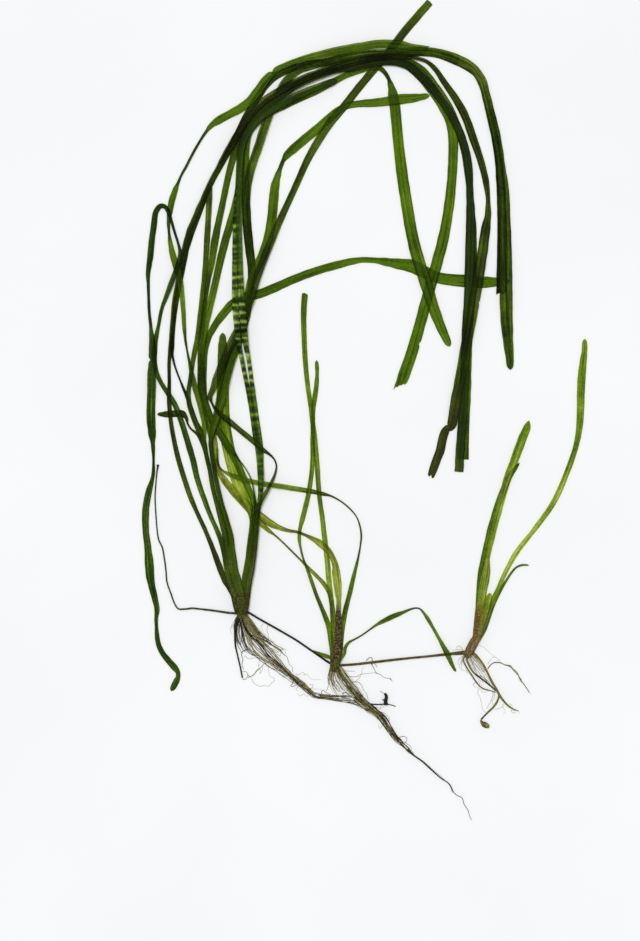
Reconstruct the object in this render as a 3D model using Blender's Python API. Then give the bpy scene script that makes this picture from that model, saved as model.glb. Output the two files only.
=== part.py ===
"""Vallisneria, a pressed water plant: three rosettes of ribbon leaves joined by runners.

Metres, Z up. The plant lies flat: X to the right, Y up the sheet, Z out of it, and the origin is on the
underside of the mother crown. Routes are in millimetres, each point giving x, y and the width across,
from the crown outwards. Leaves, runners and roots are laid one after another, so that each lies on
what is already there.
"""

import math

import bmesh
import bpy
import numpy as np

MM = 0.001

# Leaf blade: its thickness, what a folded narrow stretch adds, and the width under which it is folded
LEAF_THICK = 0.25
FOLD_EXTRA = 0.2
FOLD_WIDTH = 1.6

# Stems and roots: height as a share of the width, and the most that a flat bundle of roots reaches
STEM_ROUNDNESS = 0.85
BUNDLE_HEIGHT = 1.8

# Air between two pieces that lie on each other, and how far along a leaf may come to lie on itself
LAYER_GAP = 0.3
SELF_REACH = 15.0

# Section planes along a route: the longest step, the sharpest turn and the largest error in width
STEP_MAX = 11.0
TURN_MAX = math.radians(15)
WIDTH_ERROR = 0.15
LINE_STEP = 0.5

# The square grid that keeps the height of what already lies on the sheet
SHEET_LEFT, SHEET_FOOT, SHEET_WIDE, SHEET_TALL = -60.0, -115.0, 245.0, 440.0
CELL = 0.25
PROBE = 0.13

# Cross sections, as shares of the width and the height, anticlockwise seen from the tip
BLADE_SECTION = ((-0.5, 0.0), (0.5, 0.0), (0.5, 1.0), (-0.5, 1.0))
STEM_SECTION = ((-0.25, 0.0), (0.25, 0.0), (0.5, 0.5), (0.25, 1.0), (-0.25, 1.0), (-0.5, 0.5))
CROWN_SECTION = ((-0.4, 0.0), (0.4, 0.0), (0.5, 0.3), (0.45, 0.7), (0.22, 1.0), (-0.22, 1.0), (-0.45, 0.7),
                 (-0.5, 0.3))

# Base colours, linear red, green and blue
DEEP_GREEN = (0.035, 0.085, 0.008)
LEAF_GREEN = (0.06, 0.14, 0.01)
FRESH_GREEN = (0.12, 0.2, 0.02)
OLIVE = (0.16, 0.13, 0.03)
YELLOW_GREEN = (0.2, 0.24, 0.03)
RUNNER_BROWN = (0.02, 0.015, 0.006)
ROOT_TAN = (0.1, 0.07, 0.025)
CROWN_BROWN = (0.07, 0.055, 0.015)

# Crowns: the lean to the right, and sections from the roots to the leaf bases with x, y, width and height
CROWNS = {
    "mother_crown": (0.0, (
        (0, -3.8, 4.1, 2.4), (-0.3, -1.8, 5.4, 3.8), (-0.5, 1, 5.7, 4.2), (-0.7, 3.6, 6.2, 4.1),
        (-1.2, 6.2, 7.5, 3.8), (-1.7, 8.3, 9.6, 3.2),
    )),
    "middle_crown": (0.0, (
        (47.3, -31.1, 2.6, 2), (47, -29.6, 4.4, 3.6), (47.1, -26.2, 5.4, 4.2), (47.7, -23.1, 5, 3.8),
        (48.1, -21, 5.8, 3.2),
    )),
    "young_crown": (math.radians(27), (
        (114.4, -23.4, 2.3, 1.8), (115.2, -22.1, 4.1, 3.2), (116.4, -19.8, 4.9, 3.8),
        (118.1, -16.7, 4.6, 3.5), (119.7, -13.7, 5.4, 2.8),
    )),
}

# Runners, the flower stalk and the roots, in the order in which they are laid
STEMS_AND_ROOTS = {
    "runner_mother_to_middle": (RUNNER_BROWN, (
        (3.2, -0.5, 1.2), (7.7, -3.2, 1.1), (13.9, -6.7, 1.1), (20.6, -10.5, 1.1), (27.2, -14.4, 1.1),
        (33.4, -18.6, 1.1), (39.6, -22.9, 1.1), (43.7, -25.7, 1.2),
    )),
    "runner_middle_to_young": (OLIVE, (
        (50.3, -27.4, 1.3), (57.6, -26.9, 1.3), (66.3, -25.9, 1.3), (75.6, -24.8, 1.3),
        (84.8, -23.8, 1.2), (94.1, -22.9, 1.2), (101.3, -22.2, 1.2), (107.4, -21.5, 1.3),
        (112.7, -21, 1.5),
    )),
    "flower_stalk": (OLIVE, (
        (-3.5, -0.7, 1.2), (-7.7, -0.4, 1.2), (-12.3, 0.3, 1.1), (-17.5, 1, 1.1), (-22.1, 1.5, 1),
        (-26.2, 1.9, 1), (-29.8, 1.5, 0.9), (-33.4, 1.7, 0.9), (-35.2, 4.4, 0.8), (-37, 9.3, 0.8),
        (-39.1, 15.4, 0.8), (-39.6, 21.1, 0.8), (-40.5, 27.8, 0.8), (-41.6, 33.4, 0.8),
        (-43.3, 37, 0.8), (-44.2, 42.7, 0.7), (-44.8, 50.4, 0.7), (-45.2, 59.6, 0.7),
        (-44.7, 67.3, 0.7), (-44.1, 73, 0.8), (-43.7, 75.8, 1.3),
    )),
    "mother_roots": (ROOT_TAN, (
        (0.3, -4.9, 3.6), (0.9, -6.4, 4.9), (2.9, -9.5, 7.2), (7.2, -14.4, 8.7), (12.3, -19.5, 7.2),
        (18, -25.2, 5.1), (24.2, -31.4, 4.1), (30.3, -36.5, 4.1), (35.5, -41.1, 3.1),
        (40.6, -43.7, 2.1), (46.8, -44.7, 1.5), (53, -45.8, 1.5),
    )),
    "mother_root_left": (RUNNER_BROWN, (
        (-3.2, -3.6, 1.3), (-4, -7.2, 1.3), (-4.1, -11.3, 1.1), (-3.9, -17, 0.9), (-2.6, -23.1, 0.8),
        (-1.3, -28.8, 0.8), (-0.3, -33.9, 0.8),
    )),
    "middle_roots": (ROOT_TAN, (
        (48.7, -32.1, 2.8), (50.5, -35, 5.1), (53.5, -38, 6.7), (57.6, -42.7, 6.2), (62.2, -46.8, 5.7),
        (66.8, -50.4, 5.4), (71.5, -55, 4.6), (76.1, -60.7, 3.6), (80.2, -65.5, 3.3),
        (83.8, -69.4, 2.8), (87.4, -73.3, 1.8), (91.5, -76.3, 1), (96.7, -81, 1), (101.3, -85.1, 0.9),
        (106.2, -88.7, 1), (108, -92.3, 0.9), (110, -94.3, 0.6), (112.6, -95.6, 0.6),
        (113.6, -98.7, 0.7), (115.7, -102, 0.5), (116.5, -104.9, 0.5), (117.5, -106.9, 0.4),
    )),
    "middle_root_tendril": (RUNNER_BROWN, (
        (69.4, -47.6, 0.7), (73.5, -47.4, 0.6), (76.1, -47.8, 0.5), (78.4, -48.6, 0.5),
    )),
    "young_root_far_left": (ROOT_TAN, (
        (113.3, -24.4, 0.7), (115.2, -28.8, 0.7), (117.7, -32.6, 0.7), (120, -36.2, 0.7),
        (122.9, -39.1, 0.6), (127, -40.4, 0.5), (129.8, -41.4, 0.5),
    )),
    "young_root_left": (ROOT_TAN, (
        (115.2, -24.7, 1), (116.5, -28, 1), (118.8, -31.4, 0.9), (121.8, -33.7, 0.8),
        (125.4, -36.5, 0.8), (128.5, -39.1, 0.8), (130.8, -41.1, 0.8),
    )),
    "young_root_thick": (ROOT_TAN, (
        (119.2, -21.7, 1.3), (121.8, -24.7, 1.1), (124.2, -28.3, 1.1), (126.2, -32.4, 1.1),
        (128.3, -36.5, 1.1), (130.6, -40.4, 1.2), (132.1, -43.2, 1.2), (134.2, -46, 1),
        (136.8, -48.6, 0.9), (139.3, -50.1, 0.6), (141.6, -50.9, 0.4),
    )),
    "young_root_branch": (ROOT_TAN, (
        (131.3, -44.4, 0.9), (130.5, -46.3, 1), (128.8, -48.8, 1), (126.2, -51.3, 0.9),
        (123.9, -53.6, 0.8), (122.4, -55.3, 0.8),
    )),
    "young_root_bud": (CROWN_BROWN, (
        (122.8, -56.8, 1.3), (123.7, -57.6, 2.1), (125.2, -58.4, 2.2), (126.6, -58.9, 1.3),
    )),
    "young_root_fine": (ROOT_TAN, (
        (125.9, -29.2, 0.5), (127, -27.5, 0.5), (129, -26.1, 0.5), (132.1, -26.1, 0.5),
        (134.7, -27.2, 0.5), (137.3, -27.9, 0.7), (139.3, -30.1, 0.6), (141.4, -32.4, 0.5),
        (142.9, -35.2, 0.5), (145, -38, 0.4), (147.3, -41.5, 0.4),
    )),
}

# Leaves, in the order in which they are laid
LEAVES = {
    "middle_leaf_lower_left": (YELLOW_GREEN, (
        (46.6, -20.5, 1.3), (46.6, -11.8, 2.1), (46.1, -2.6, 2.2), (45.5, 4.6, 2.3), (44.2, 10.3, 2.3),
        (41.6, 14.4, 2.2), (37.5, 18.8, 1.9), (32.9, 23.4, 1.5), (29.3, 27, 1), (24.7, 31.6, 0.9),
        (20, 36.2, 0.9), (16.2, 39.6, 1), (13.1, 41.9, 2.1), (9.8, 45, 2.8), (5.1, 50.1, 3.1),
        (0.3, 55.3, 2.8), (-4.6, 60.4, 2.6), (-8.7, 65.3, 1.5), (-11.1, 68.9, 0.5),
    )),
    "middle_leaf_right_arch": (LEAF_GREEN, (
        (50, -20.5, 1.3), (50.2, -16.5, 1.9), (50.6, -11.3, 2.3), (51.6, -4.6, 2.6), (52.8, 1.5, 2.6),
        (54.1, 6.7, 2.3), (55.4, 11.8, 2.4), (56.7, 17.5, 2.1), (58.1, 23.1, 1.6), (59.4, 28.8, 1),
        (60.3, 33.9, 0.8), (60.8, 39.1, 0.9), (60.1, 44.2, 0.8), (58.4, 48.8, 0.7), (55, 53, 0.8),
        (50.4, 56.8, 0.8), (45.2, 59.6, 1), (40.6, 60.8, 2), (34.4, 62.1, 2.5), (27.8, 63.2, 2.6),
        (19, 64.7, 2.6), (11.3, 65.8, 2.6), (3.6, 67.3, 2.4), (-2.6, 69.2, 2.6), (-7.2, 70.9, 1.9),
        (-10.8, 73, 1), (-12.9, 76.1, 0.8), (-13.2, 80.7, 0.8), (-13.2, 84.8, 0.5),
    )),
    "middle_leaf_pointed": (FRESH_GREEN, (
        (45.9, -20.5, 1.3), (45.2, -14.4, 2.2), (44, -7.2, 2.1), (41.9, -1.5, 2.1), (39.8, 3.6, 1.9),
        (37.5, 9.3, 1.8), (35.2, 15.9, 1.8), (33.2, 21.6, 1.4), (31.2, 26.7, 1), (29.7, 32.4, 1.1),
        (28.9, 38, 1.8), (29.3, 42.7, 1.9), (30.7, 48.3, 2.5), (32.1, 54, 2.5), (33.3, 59.1, 2.3),
        (34.3, 64.8, 2.3), (35.2, 70.9, 2.2), (35.7, 78.1, 2.2), (35.8, 86.9, 2.3), (35.9, 96.1, 2.3),
        (36.1, 103.8, 2.2), (37, 111, 2.5), (37.8, 117.2, 2.3), (38.1, 122.4, 1.7), (38, 126, 2),
        (37.8, 129.4, 0.5),
    )),
    "middle_leaf_blunt": (FRESH_GREEN, (
        (47.5, -20.5, 1.3), (47.2, -17, 2.1), (47, -12.3, 2.3), (46.5, -5.1, 2.3), (45.8, 3.1, 2.3),
        (44.7, 11.3, 2.6), (43.9, 19, 2.6), (43.3, 26.7, 2.6), (42.6, 32.9, 2.6), (41.8, 39.6, 2.6),
        (40.8, 48.3, 2.4), (39.6, 56.6, 2.3), (38.8, 64.3, 2.4), (38.3, 72, 2.5), (37.6, 80.7, 2.6),
        (36.8, 89.5, 2.6), (35.7, 98.2, 2.4), (34.7, 106.4, 2.3), (33.4, 115.2, 2.3),
        (32.4, 124.4, 2.4), (31.7, 134.7, 2.6), (31.3, 145, 2.7), (31.2, 154.2, 2.9),
        (31.6, 160.9, 3.1), (31.9, 163.6, 2.9),
    )),
    "middle_leaf_yellow": (OLIVE, (
        (48.4, -20.5, 3.8), (48.7, -15.9, 3.8), (48.8, -12.3, 3.2), (49, -5.1, 3.2), (49, 1.5, 2.7),
        (49.2, 6.2, 2.3), (49.1, 11.8, 2.9), (48.6, 18, 3.6), (47.6, 23.1, 3.2), (46, 28, 2.8),
        (43.2, 32.1, 3.3), (39.8, 35.2, 3.6), (36, 37.5, 2.3), (31.9, 39.6, 1.5), (27.8, 41.1, 1.4),
        (23.6, 41.8, 1.7), (19, 43.2, 2.4), (14.4, 45.4, 3.6), (10.3, 48.2, 4.1), (4.6, 52.7, 3.9),
        (-0.5, 57.8, 3.8), (-5.7, 63, 3.8), (-9.5, 67.6, 3.6), (-12.6, 73, 2.3), (-13.6, 78.7, 2.3),
        (-14.1, 84.8, 2.6), (-14.8, 90.5, 2.4), (-15.4, 94.1, 0.6),
    )),
    "middle_leaf_short": (OLIVE, (
        (44.5, -23.2, 1.6), (42.7, -22.6, 2.1), (39.6, -21.4, 1.4), (36.8, -20.2, 0.6),
        (35.5, -19.7, 0.4),
    )),
    "middle_leaf_bent": (LEAF_GREEN, (
        (52.2, -21.2, 1.4), (52.6, -18.3, 1.7), (54.3, -15.8, 1.4), (57.1, -14.2, 0.9),
        (60.7, -12.2, 0.8), (64.8, -9.3, 0.8), (68.4, -6.8, 1.2), (71.5, -5, 2.1), (75.6, -3, 2.6),
        (79.2, -1.4, 2.4), (82.8, 0, 1.5), (85.9, 1.3, 1), (88.9, 2, 0.8), (91, 1.6, 0.8),
        (92.5, 0, 1.1), (94.9, -3.4, 1.9), (97.7, -8.2, 1.5), (100.6, -13.4, 1.6), (102.8, -17.5, 2.2),
        (104.9, -21.3, 2.9), (106.6, -25.2, 2.2), (108.3, -28.8, 1.6), (109.5, -30.7, 0.8),
    )),
    "young_leaf_front": (FRESH_GREEN, (
        (118.7, -12.1, 1.3), (119.4, -9, 2.1), (120, -4.1, 2.3), (120.6, 3.1, 2.1), (121.1, 10.3, 2.3),
        (121.7, 16.5, 2.7), (122.7, 22.6, 3), (124.2, 29.3, 3.1), (125.6, 35.5, 3.1),
        (127.2, 42.2, 3.3), (129.3, 49.4, 3.3), (131.6, 56.6, 3.4), (134.2, 63.2, 3.4),
        (136.9, 69.4, 2.9), (139.6, 73.3, 2.1), (142.1, 76.7, 0.5),
    )),
    "young_leaf_upright": (LEAF_GREEN, (
        (120.2, -12.9, 1.4), (121.1, -9.8, 2.3), (122.1, -4.1, 3.1), (123.1, 3.1, 3.1),
        (123.6, 10.3, 3.3), (124.8, 16.5, 3.6), (125.4, 21.6, 3.3), (125.4, 26.7, 2.6),
        (126.5, 32.4, 2.8), (127.8, 38, 3.1), (129.8, 46.3, 3.3), (132.1, 54.5, 3.3),
        (133.9, 61.7, 3.6), (136.2, 69.4, 3.9), (138.8, 76.1, 4.1), (141.4, 83.3, 4.4),
        (143.9, 89.7, 4.4), (145.9, 94.6, 3.8), (147, 98.3, 0.8),
    )),
    "young_leaf_thin": (LEAF_GREEN, (
        (121.8, -13.6, 1.3), (124.2, -9.3, 1.8), (126.5, -2.6, 1.9), (128.5, 3.1, 1.8),
        (130.8, 8, 1.5), (133.4, 12.9, 1.4), (136, 17.2, 1.1), (138.3, 20.6, 1), (140.6, 23, 0.9),
        (143.4, 24.1, 0.9), (147, 24, 0.6),
    )),
    "young_leaf_long_right": (FRESH_GREEN, (
        (121, -13.2, 1.4), (122.9, -9.8, 2.1), (124.9, -4.1, 2.6), (127, 2.1, 2.8), (129.3, 7.2, 3.1),
        (131.4, 12.3, 2.3), (133.4, 17.2, 2.2), (136, 22.6, 2.3), (139.3, 28.5, 2.6),
        (142.9, 33.7, 2.5), (147.8, 39.8, 2.3), (153.5, 47.3, 2.6), (158.3, 54, 2.7),
        (162.5, 61.9, 2.9), (165.5, 69.1, 2.7), (168.4, 76.6, 2.8), (170.9, 84.3, 2.7),
        (172.5, 91.5, 3.1), (173.3, 99.2, 3.6), (173.6, 109, 3.9), (174, 119.3, 4.1),
        (174.9, 128.5, 3.6), (175.6, 134.7, 2.9), (175.7, 140.3, 0.6),
    )),
    "young_sheath": (YELLOW_GREEN, (
        (120.1, -12.9, 3.2), (121.1, -8.2, 3.6), (122, -0.5, 4.1), (122.7, 7.2, 4.1),
        (123.9, 14.9, 4.2), (124.9, 20.6, 3.9), (125.5, 25.2, 2.6), (125.6, 28, 0.8),
    )),
    "young_bract": (YELLOW_GREEN, (
        (121.1, -13, 1.8), (122, -8.7, 2.8), (123.4, -3.6, 3.6), (124.9, 2.1, 4.1), (126, 6.2, 3.8),
        (126.7, 8.5, 2.6), (127, 9.9, 0.8),
    )),
    "mother_leaf_short_broad": (FRESH_GREEN, (
        (0.7, 9, 1.3), (0.8, 12.3, 1.4), (0.9, 16.5, 1.9), (1.7, 21.6, 2.1), (2.6, 26.7, 2.1),
        (3.2, 31.9, 2.1), (3.8, 37, 2.1), (4.4, 42.2, 2.1), (4.4, 47.3, 2.6), (3.3, 53.5, 3.6),
        (0.8, 59.6, 5.1), (-2.2, 66.1, 6.3), (-4.8, 73.5, 6.2), (-6.9, 81.7, 6.2), (-8.7, 90.5, 6.3),
        (-9.9, 98.7, 6.5), (-10.4, 109, 6.5), (-10.4, 119.3, 6.2), (-10.5, 128.5, 5.2),
        (-10.5, 136.8, 4.7), (-10.5, 140.3, 3.6), (-10.4, 143.6, 0.8),
    )),
    "mother_leaf_level": (LEAF_GREEN, (
        (0.7, 9, 1.3), (0.8, 12.3, 1.4), (0.9, 16.5, 1.9), (1.7, 21.6, 2.1), (2.6, 26.7, 2.1),
        (3.2, 31.9, 2.1), (3.8, 37, 2.1), (4.4, 42.2, 2.1), (4.9, 47.3, 2.1), (5.7, 53.5, 2.3),
        (4.9, 58.1, 2.6), (3.1, 63, 3.1), (0.8, 67.9, 3.3), (-1.3, 72.7, 3.6), (-3.6, 77.9, 3.8),
        (-6.9, 83.8, 3.9), (-10.8, 90, 3.6), (-14.4, 95.6, 3.3), (-17.6, 102.8, 3.1),
        (-19.4, 109.5, 2.6), (-20, 116.7, 2.6), (-19.9, 125.4, 2.6), (-19.3, 134.7, 2.8),
        (-17.6, 141.4, 3.1), (-14.5, 147.2, 3.6), (-10.4, 152.9, 4.1), (-5.4, 158.3, 4.6),
        (0.5, 161.7, 4.6), (7.7, 163.3, 4.6), (14.9, 166.1, 4.5), (24.2, 170.2, 4.2),
        (31.9, 173.3, 4.1), (39.6, 175.9, 4.1), (47.3, 178.1, 4.1), (55, 180, 3.6), (61.2, 181, 2.9),
        (67.3, 180.8, 2.9), (74.5, 179.8, 4.3), (80.7, 178.8, 5.7), (86.4, 177.9, 6.7),
        (93.1, 174.8, 6.4), (99.7, 172, 5.7), (106.4, 170.8, 5.9), (114.1, 170.2, 6.5),
        (124.4, 169.5, 5.9), (130.6, 169.7, 4.6), (134.2, 170, 3.1), (137.3, 170.4, 0.6),
    )),
    "mother_leaf_small_left": (LEAF_GREEN, (
        (-2.6, 9, 1.3), (-3.6, 12.3, 1.4), (-4.8, 16.5, 1.6), (-6.2, 21.6, 1.7), (-6.9, 26.7, 1.8),
        (-7.8, 31.9, 1.9), (-9, 38.6, 2.1), (-11.2, 47.3, 2.2), (-13.7, 56.6, 2.2), (-15.8, 65.3, 2.2),
        (-17.1, 73, 2.1), (-18.9, 80.7, 2.1), (-21.3, 87.9, 2.3), (-23.9, 91.8, 1.5), (-26.7, 94.1, 1),
        (-28.5, 96.9, 1), (-29.1, 99.7, 1.8), (-31.1, 101.8, 3.6), (-35, 101.9, 3.5),
        (-39.8, 101.6, 3.2), (-42.4, 101.6, 2.1), (-44.1, 101.7, 0.5),
    )),
    "mother_leaf_arch_thin": (DEEP_GREEN, (
        (-2.6, 9, 1.3), (-3.6, 12.3, 1.4), (-4.8, 16.5, 1.6), (-6.2, 21.6, 1.7), (-6.9, 26.7, 1.8),
        (-7.8, 31.9, 1.9), (-9, 38.6, 2.1), (-11.2, 47.3, 2.2), (-13.7, 56.6, 2.2), (-15.8, 65.3, 2.2),
        (-17.1, 73, 2.1), (-18.9, 80.7, 2.1), (-21.6, 92.5, 2.6), (-24.2, 97.7, 2.3),
        (-26.7, 104.9, 2.1), (-28.5, 110, 2.1), (-30.3, 114.1, 1.4), (-32.4, 119.3, 1),
        (-34.7, 125.4, 1), (-36.2, 131.6, 1.3), (-36.3, 137.3, 2.1), (-35.5, 150.1, 2.2),
        (-34.2, 160.4, 2.6), (-32.6, 169.1, 2.6), (-30.6, 178.4, 2.6), (-29.3, 186.1, 3.1),
        (-27.9, 191.2, 3.3), (-26.2, 196.4, 3.5), (-24.2, 201.5, 3.3), (-22.1, 206.7, 3.1),
        (-20, 211.8, 2.6), (-17.8, 217, 2.5), (-15.4, 222.1, 2.5), (-12.6, 227.2, 2.6),
        (-9.8, 232.4, 2.8), (-6.2, 239.1, 3.1), (-2.1, 247.3, 3.3), (1.5, 254.5, 3.6),
        (5.7, 260.4, 3.6), (9.8, 265.8, 3.6), (13.6, 270.7, 3.6), (18, 274, 3.3), (24.2, 277.1, 3.3),
        (31.9, 280.2, 3.6), (42.2, 282.8, 3.6), (52.4, 285.1, 3.6), (62.7, 286.6, 3.3),
        (73, 286.9, 3.1), (83.3, 286.9, 3.3), (91, 287.4, 3.6), (99.7, 286.9, 4.1),
        (107.4, 284.3, 4.4), (114.1, 281.2, 4.4), (119.8, 277.1, 4.1), (123.1, 271.4, 4.1),
        (125.4, 263.2, 4.1), (127.8, 254, 4.4), (130.1, 242.7, 4.4), (131.6, 232.4, 4.4),
        (132.4, 222.1, 4.6), (133, 211.8, 4.9), (133.3, 199, 5.1), (133.3, 186.1, 5.4),
        (133, 173.3, 5.4), (132.9, 163.7, 5.4),
    )),
    "mother_leaf_short_torn": (LEAF_GREEN, (
        (-2.6, 9, 1.3), (-3.6, 12.3, 1.4), (-4.8, 16.5, 1.6), (-6.2, 21.6, 1.7), (-6.9, 26.7, 1.8),
        (-7.8, 31.9, 1.9), (-9, 38.6, 2.1), (-11.2, 47.3, 2.2), (-13.7, 56.6, 2.2), (-15.8, 65.3, 2.2),
        (-17.1, 73, 2.1), (-18.9, 80.7, 2.1), (-20.3, 88.4, 2.2), (-22.9, 93.6, 2.6),
        (-25.4, 99.7, 2.6), (-27.5, 106.4, 2.6), (-28.1, 111.6, 2.3), (-27.1, 119.3, 2.3),
        (-26.1, 126.5, 2.3), (-24.9, 133.7, 2.6), (-23.5, 139.8, 2.8), (-22.1, 150.1, 2.9),
        (-21.1, 160.4, 2.6), (-20, 170.7, 2.6), (-19.1, 181, 2.8), (-18.5, 191.2, 3.1),
        (-17.9, 201.5, 2.9), (-17.4, 211.8, 3.1), (-17.1, 219.3, 2.8),
    )),
    "mother_leaf_arch_left": (LEAF_GREEN, (
        (-0.9, 9, 1.3), (-1.9, 12.3, 1.4), (-2.8, 16.5, 1.6), (-4, 21.6, 1.7), (-4.7, 26.7, 1.8),
        (-5.6, 31.9, 1.9), (-6.4, 38.6, 2.1), (-8.6, 47.3, 2.2), (-11.2, 56.6, 2.2),
        (-13.2, 65.3, 2.2), (-14.7, 73, 2), (-16, 80.7, 2.1), (-16.5, 88.4, 2.2), (-17.5, 94.6, 2.6),
        (-19, 101.3, 2.8), (-20.7, 109, 2.8), (-22.1, 116.7, 2.4), (-22.3, 125.4, 2.2),
        (-22.1, 134.7, 2.4), (-21.3, 142.4, 2.6), (-20.5, 150.1, 2.3), (-19.4, 160.4, 2.1),
        (-17.8, 170.7, 2.4), (-15.9, 181, 3.4), (-14.4, 191.2, 3.9), (-12.3, 201.5, 3.3),
        (-10.1, 211.8, 3.2), (-8, 222.1, 3.3), (-5.4, 232.4, 3.4), (-2.8, 240.1, 3.6),
        (0.3, 247.3, 3.6), (4.4, 254, 3.9), (9.8, 259.6, 3.9), (16.5, 264, 3.9), (24.2, 268.1, 3.9),
        (34.4, 272.7, 3.9), (44.7, 276.8, 3.9), (55, 280.2, 3.9), (65.3, 282.2, 3.9), (75.6, 283, 4.1),
        (82.8, 282, 4.4), (88.4, 278.1, 4.6), (94.6, 271.4, 4.6), (99.5, 264.8, 4.6),
        (103.6, 258.6, 5.1), (106.7, 252.4, 5.4), (108, 245.2, 5.3), (108, 234.9, 4.9),
        (107.4, 223.1, 4.8), (106.3, 211.8, 5.1), (104.8, 201.5, 5.2), (102.8, 191.2, 5.6),
        (100.1, 181, 5.7), (96.7, 169.1, 5.7), (93.7, 157.8, 5.7), (90.2, 145, 5.7),
        (86.4, 132.1, 5.9), (83.3, 122.9, 5.9), (80.7, 117.2, 4.9), (78.9, 113.1, 1.3),
    )),
    "mother_leaf_arch_inner": (DEEP_GREEN, (
        (-0.9, 9, 1.3), (-1.9, 12.3, 1.4), (-2.8, 16.5, 1.6), (-4, 21.6, 1.7), (-4.7, 26.7, 1.8),
        (-5.6, 31.9, 1.9), (-6.4, 38.6, 2.1), (-8.6, 47.3, 2.2), (-11.2, 56.6, 2.2),
        (-13.2, 65.3, 2.2), (-14.7, 73, 2), (-16, 80.7, 2.1), (-16.5, 88.4, 2.2), (-15.3, 95.1, 2.8),
        (-13.2, 102.8, 3.6), (-11.7, 110, 4), (-10.3, 117.2, 4.1), (-8.5, 124.4, 4.1),
        (-6.2, 131.6, 4.1), (-3.3, 138.3, 3.9), (-0.8, 145, 3.9), (1.5, 152.7, 3.6), (2.8, 160.4, 3.6),
        (4.1, 168.1, 3.6), (4.5, 175.8, 4.1), (3.4, 186.1, 4.6), (2.1, 199, 4.6), (1.5, 211.8, 4.4),
        (1.4, 226.2, 3.9), (1.7, 238.5, 3.3), (3.1, 246.3, 3.6), (7.2, 252.2, 4.1), (13.9, 257.1, 4.4),
        (21.6, 260.9, 4.4), (29.3, 264.5, 4.4), (37, 267.8, 4.1), (44.7, 271.7, 3.6),
        (52.4, 275.6, 3.1), (60.1, 278.4, 3.1), (66.3, 280.2, 3.1), (70.4, 279.4, 2.6),
        (73.3, 276.8, 2.2), (74.9, 274, 1.9), (76.1, 270.4, 3.3), (77.1, 265.8, 5.1),
        (78.1, 259.6, 5.6), (79, 250.4, 5.4), (80, 240.1, 5.4), (81.2, 229.8, 5.7), (82.6, 219.5, 5.8),
        (84.5, 207.7, 5.9), (86.4, 196.4, 6), (88.9, 185.1, 6.2), (91.7, 175.8, 6.2),
        (94.7, 166.6, 6.2), (97.9, 156.3, 5.7), (101.3, 147.5, 5), (104.4, 140.6, 4.1),
        (106.3, 136.5, 0.8),
    )),
    "mother_leaf_arch_bright": (LEAF_GREEN, (
        (2.4, 9, 1.3), (2.7, 12.3, 1.4), (3.2, 16.5, 1.9), (4.3, 21.6, 2.1), (5, 26.7, 2.1),
        (5.7, 31.9, 2.1), (6.2, 37, 2.1), (6.8, 42.2, 2.1), (7.2, 47.3, 2.1), (6.3, 56, 1.5),
        (5.5, 62.7, 0.8), (4.1, 68.4, 0.7), (1.5, 73.5, 0.6), (-1.8, 77.9, 0.8), (-6.2, 83.8, 2.6),
        (-10.8, 90.2, 3.1), (-14.9, 96.7, 3.3), (-18, 102.8, 3.1), (-20.2, 109.5, 2.8),
        (-21.2, 116.7, 2.6), (-21.3, 125.4, 2.3), (-20.8, 134.7, 2.6), (-20, 142.4, 3.1),
        (-18.8, 150.1, 3.6), (-17.6, 155.3, 3.8), (-16.3, 160.4, 3.6), (-13.9, 170.7, 3.6),
        (-11.6, 181, 3.9), (-9, 191.2, 4.1), (-6.2, 201, 3.9), (-4, 209.2, 3.6), (-2.3, 218, 3.3),
        (-1.3, 228.3, 3.3), (-0.5, 238.5, 3.6), (1.8, 247.3, 3.6), (6.2, 254.5, 3.9),
        (12.3, 260.4, 3.9), (20, 265.3, 3.9), (27.8, 269.6, 3.9), (37, 273.8, 3.6), (47.3, 278.1, 3.6),
        (57.6, 281.5, 3.6), (67.9, 283.5, 3.6), (78.1, 284, 3.6), (85.9, 282.2, 3.9),
        (93.1, 277.4, 4.1), (98.5, 270.4, 4.1), (102.8, 264.2, 4.4), (106.2, 258.3, 4.4),
        (109.5, 251.1, 4.1), (112.3, 243.9, 4.4), (114.3, 236.5, 4.4), (115.5, 229.3, 4.4),
        (116.2, 223.1, 4.1), (116.7, 215.9, 3.2), (117.2, 206.7, 4.1), (117.4, 196.4, 5.4),
        (117.2, 186.1, 5.9), (117.1, 175.8, 5.9), (116.7, 163, 5.8), (115.7, 150.1, 5.8),
        (115, 137.3, 5.7), (114.6, 124.4, 5.7), (114.4, 113.1, 5.7), (113.8, 102.8, 5.7),
        (113.3, 91, 5.8), (113.1, 78.4, 5.9),
    )),
    "mother_leaf_arch_outer": (DEEP_GREEN, (
        (-0.9, 9, 1.3), (-1.9, 12.3, 1.4), (-2.8, 16.5, 1.6), (-4, 21.6, 1.7), (-4.7, 26.7, 1.8),
        (-5.6, 31.9, 1.9), (-6.4, 38.6, 2.1), (-8.6, 47.3, 2.2), (-11.2, 56.6, 2.2),
        (-13.2, 65.3, 2.2), (-14.7, 73, 2), (-16, 80.7, 2.1), (-16.5, 88.4, 2.2), (-14.9, 94.6, 2.8),
        (-12.9, 101.8, 3.3), (-11.1, 109, 3.6), (-9.5, 116.2, 3.9), (-7.5, 123.4, 3.9),
        (-5.4, 130.6, 3.6), (-2.6, 137.3, 3.6), (0, 145, 3.6), (2.1, 152.7, 3.6), (3.3, 160.4, 3.6),
        (4.4, 170.7, 3.6), (4.1, 179.9, 3.9), (2.8, 191.2, 4.1), (1.8, 204.1, 4.1), (1.8, 214.4, 4.1),
        (3.1, 223.6, 4.1), (5.4, 231.9, 4.3), (8.2, 240.1, 4.4), (10.8, 248.3, 4.4),
        (13.6, 256.5, 4.4), (17, 263.7, 4.1), (19.8, 269.1, 4.1), (23.1, 274, 3.9), (27.8, 277.9, 3.6),
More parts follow.
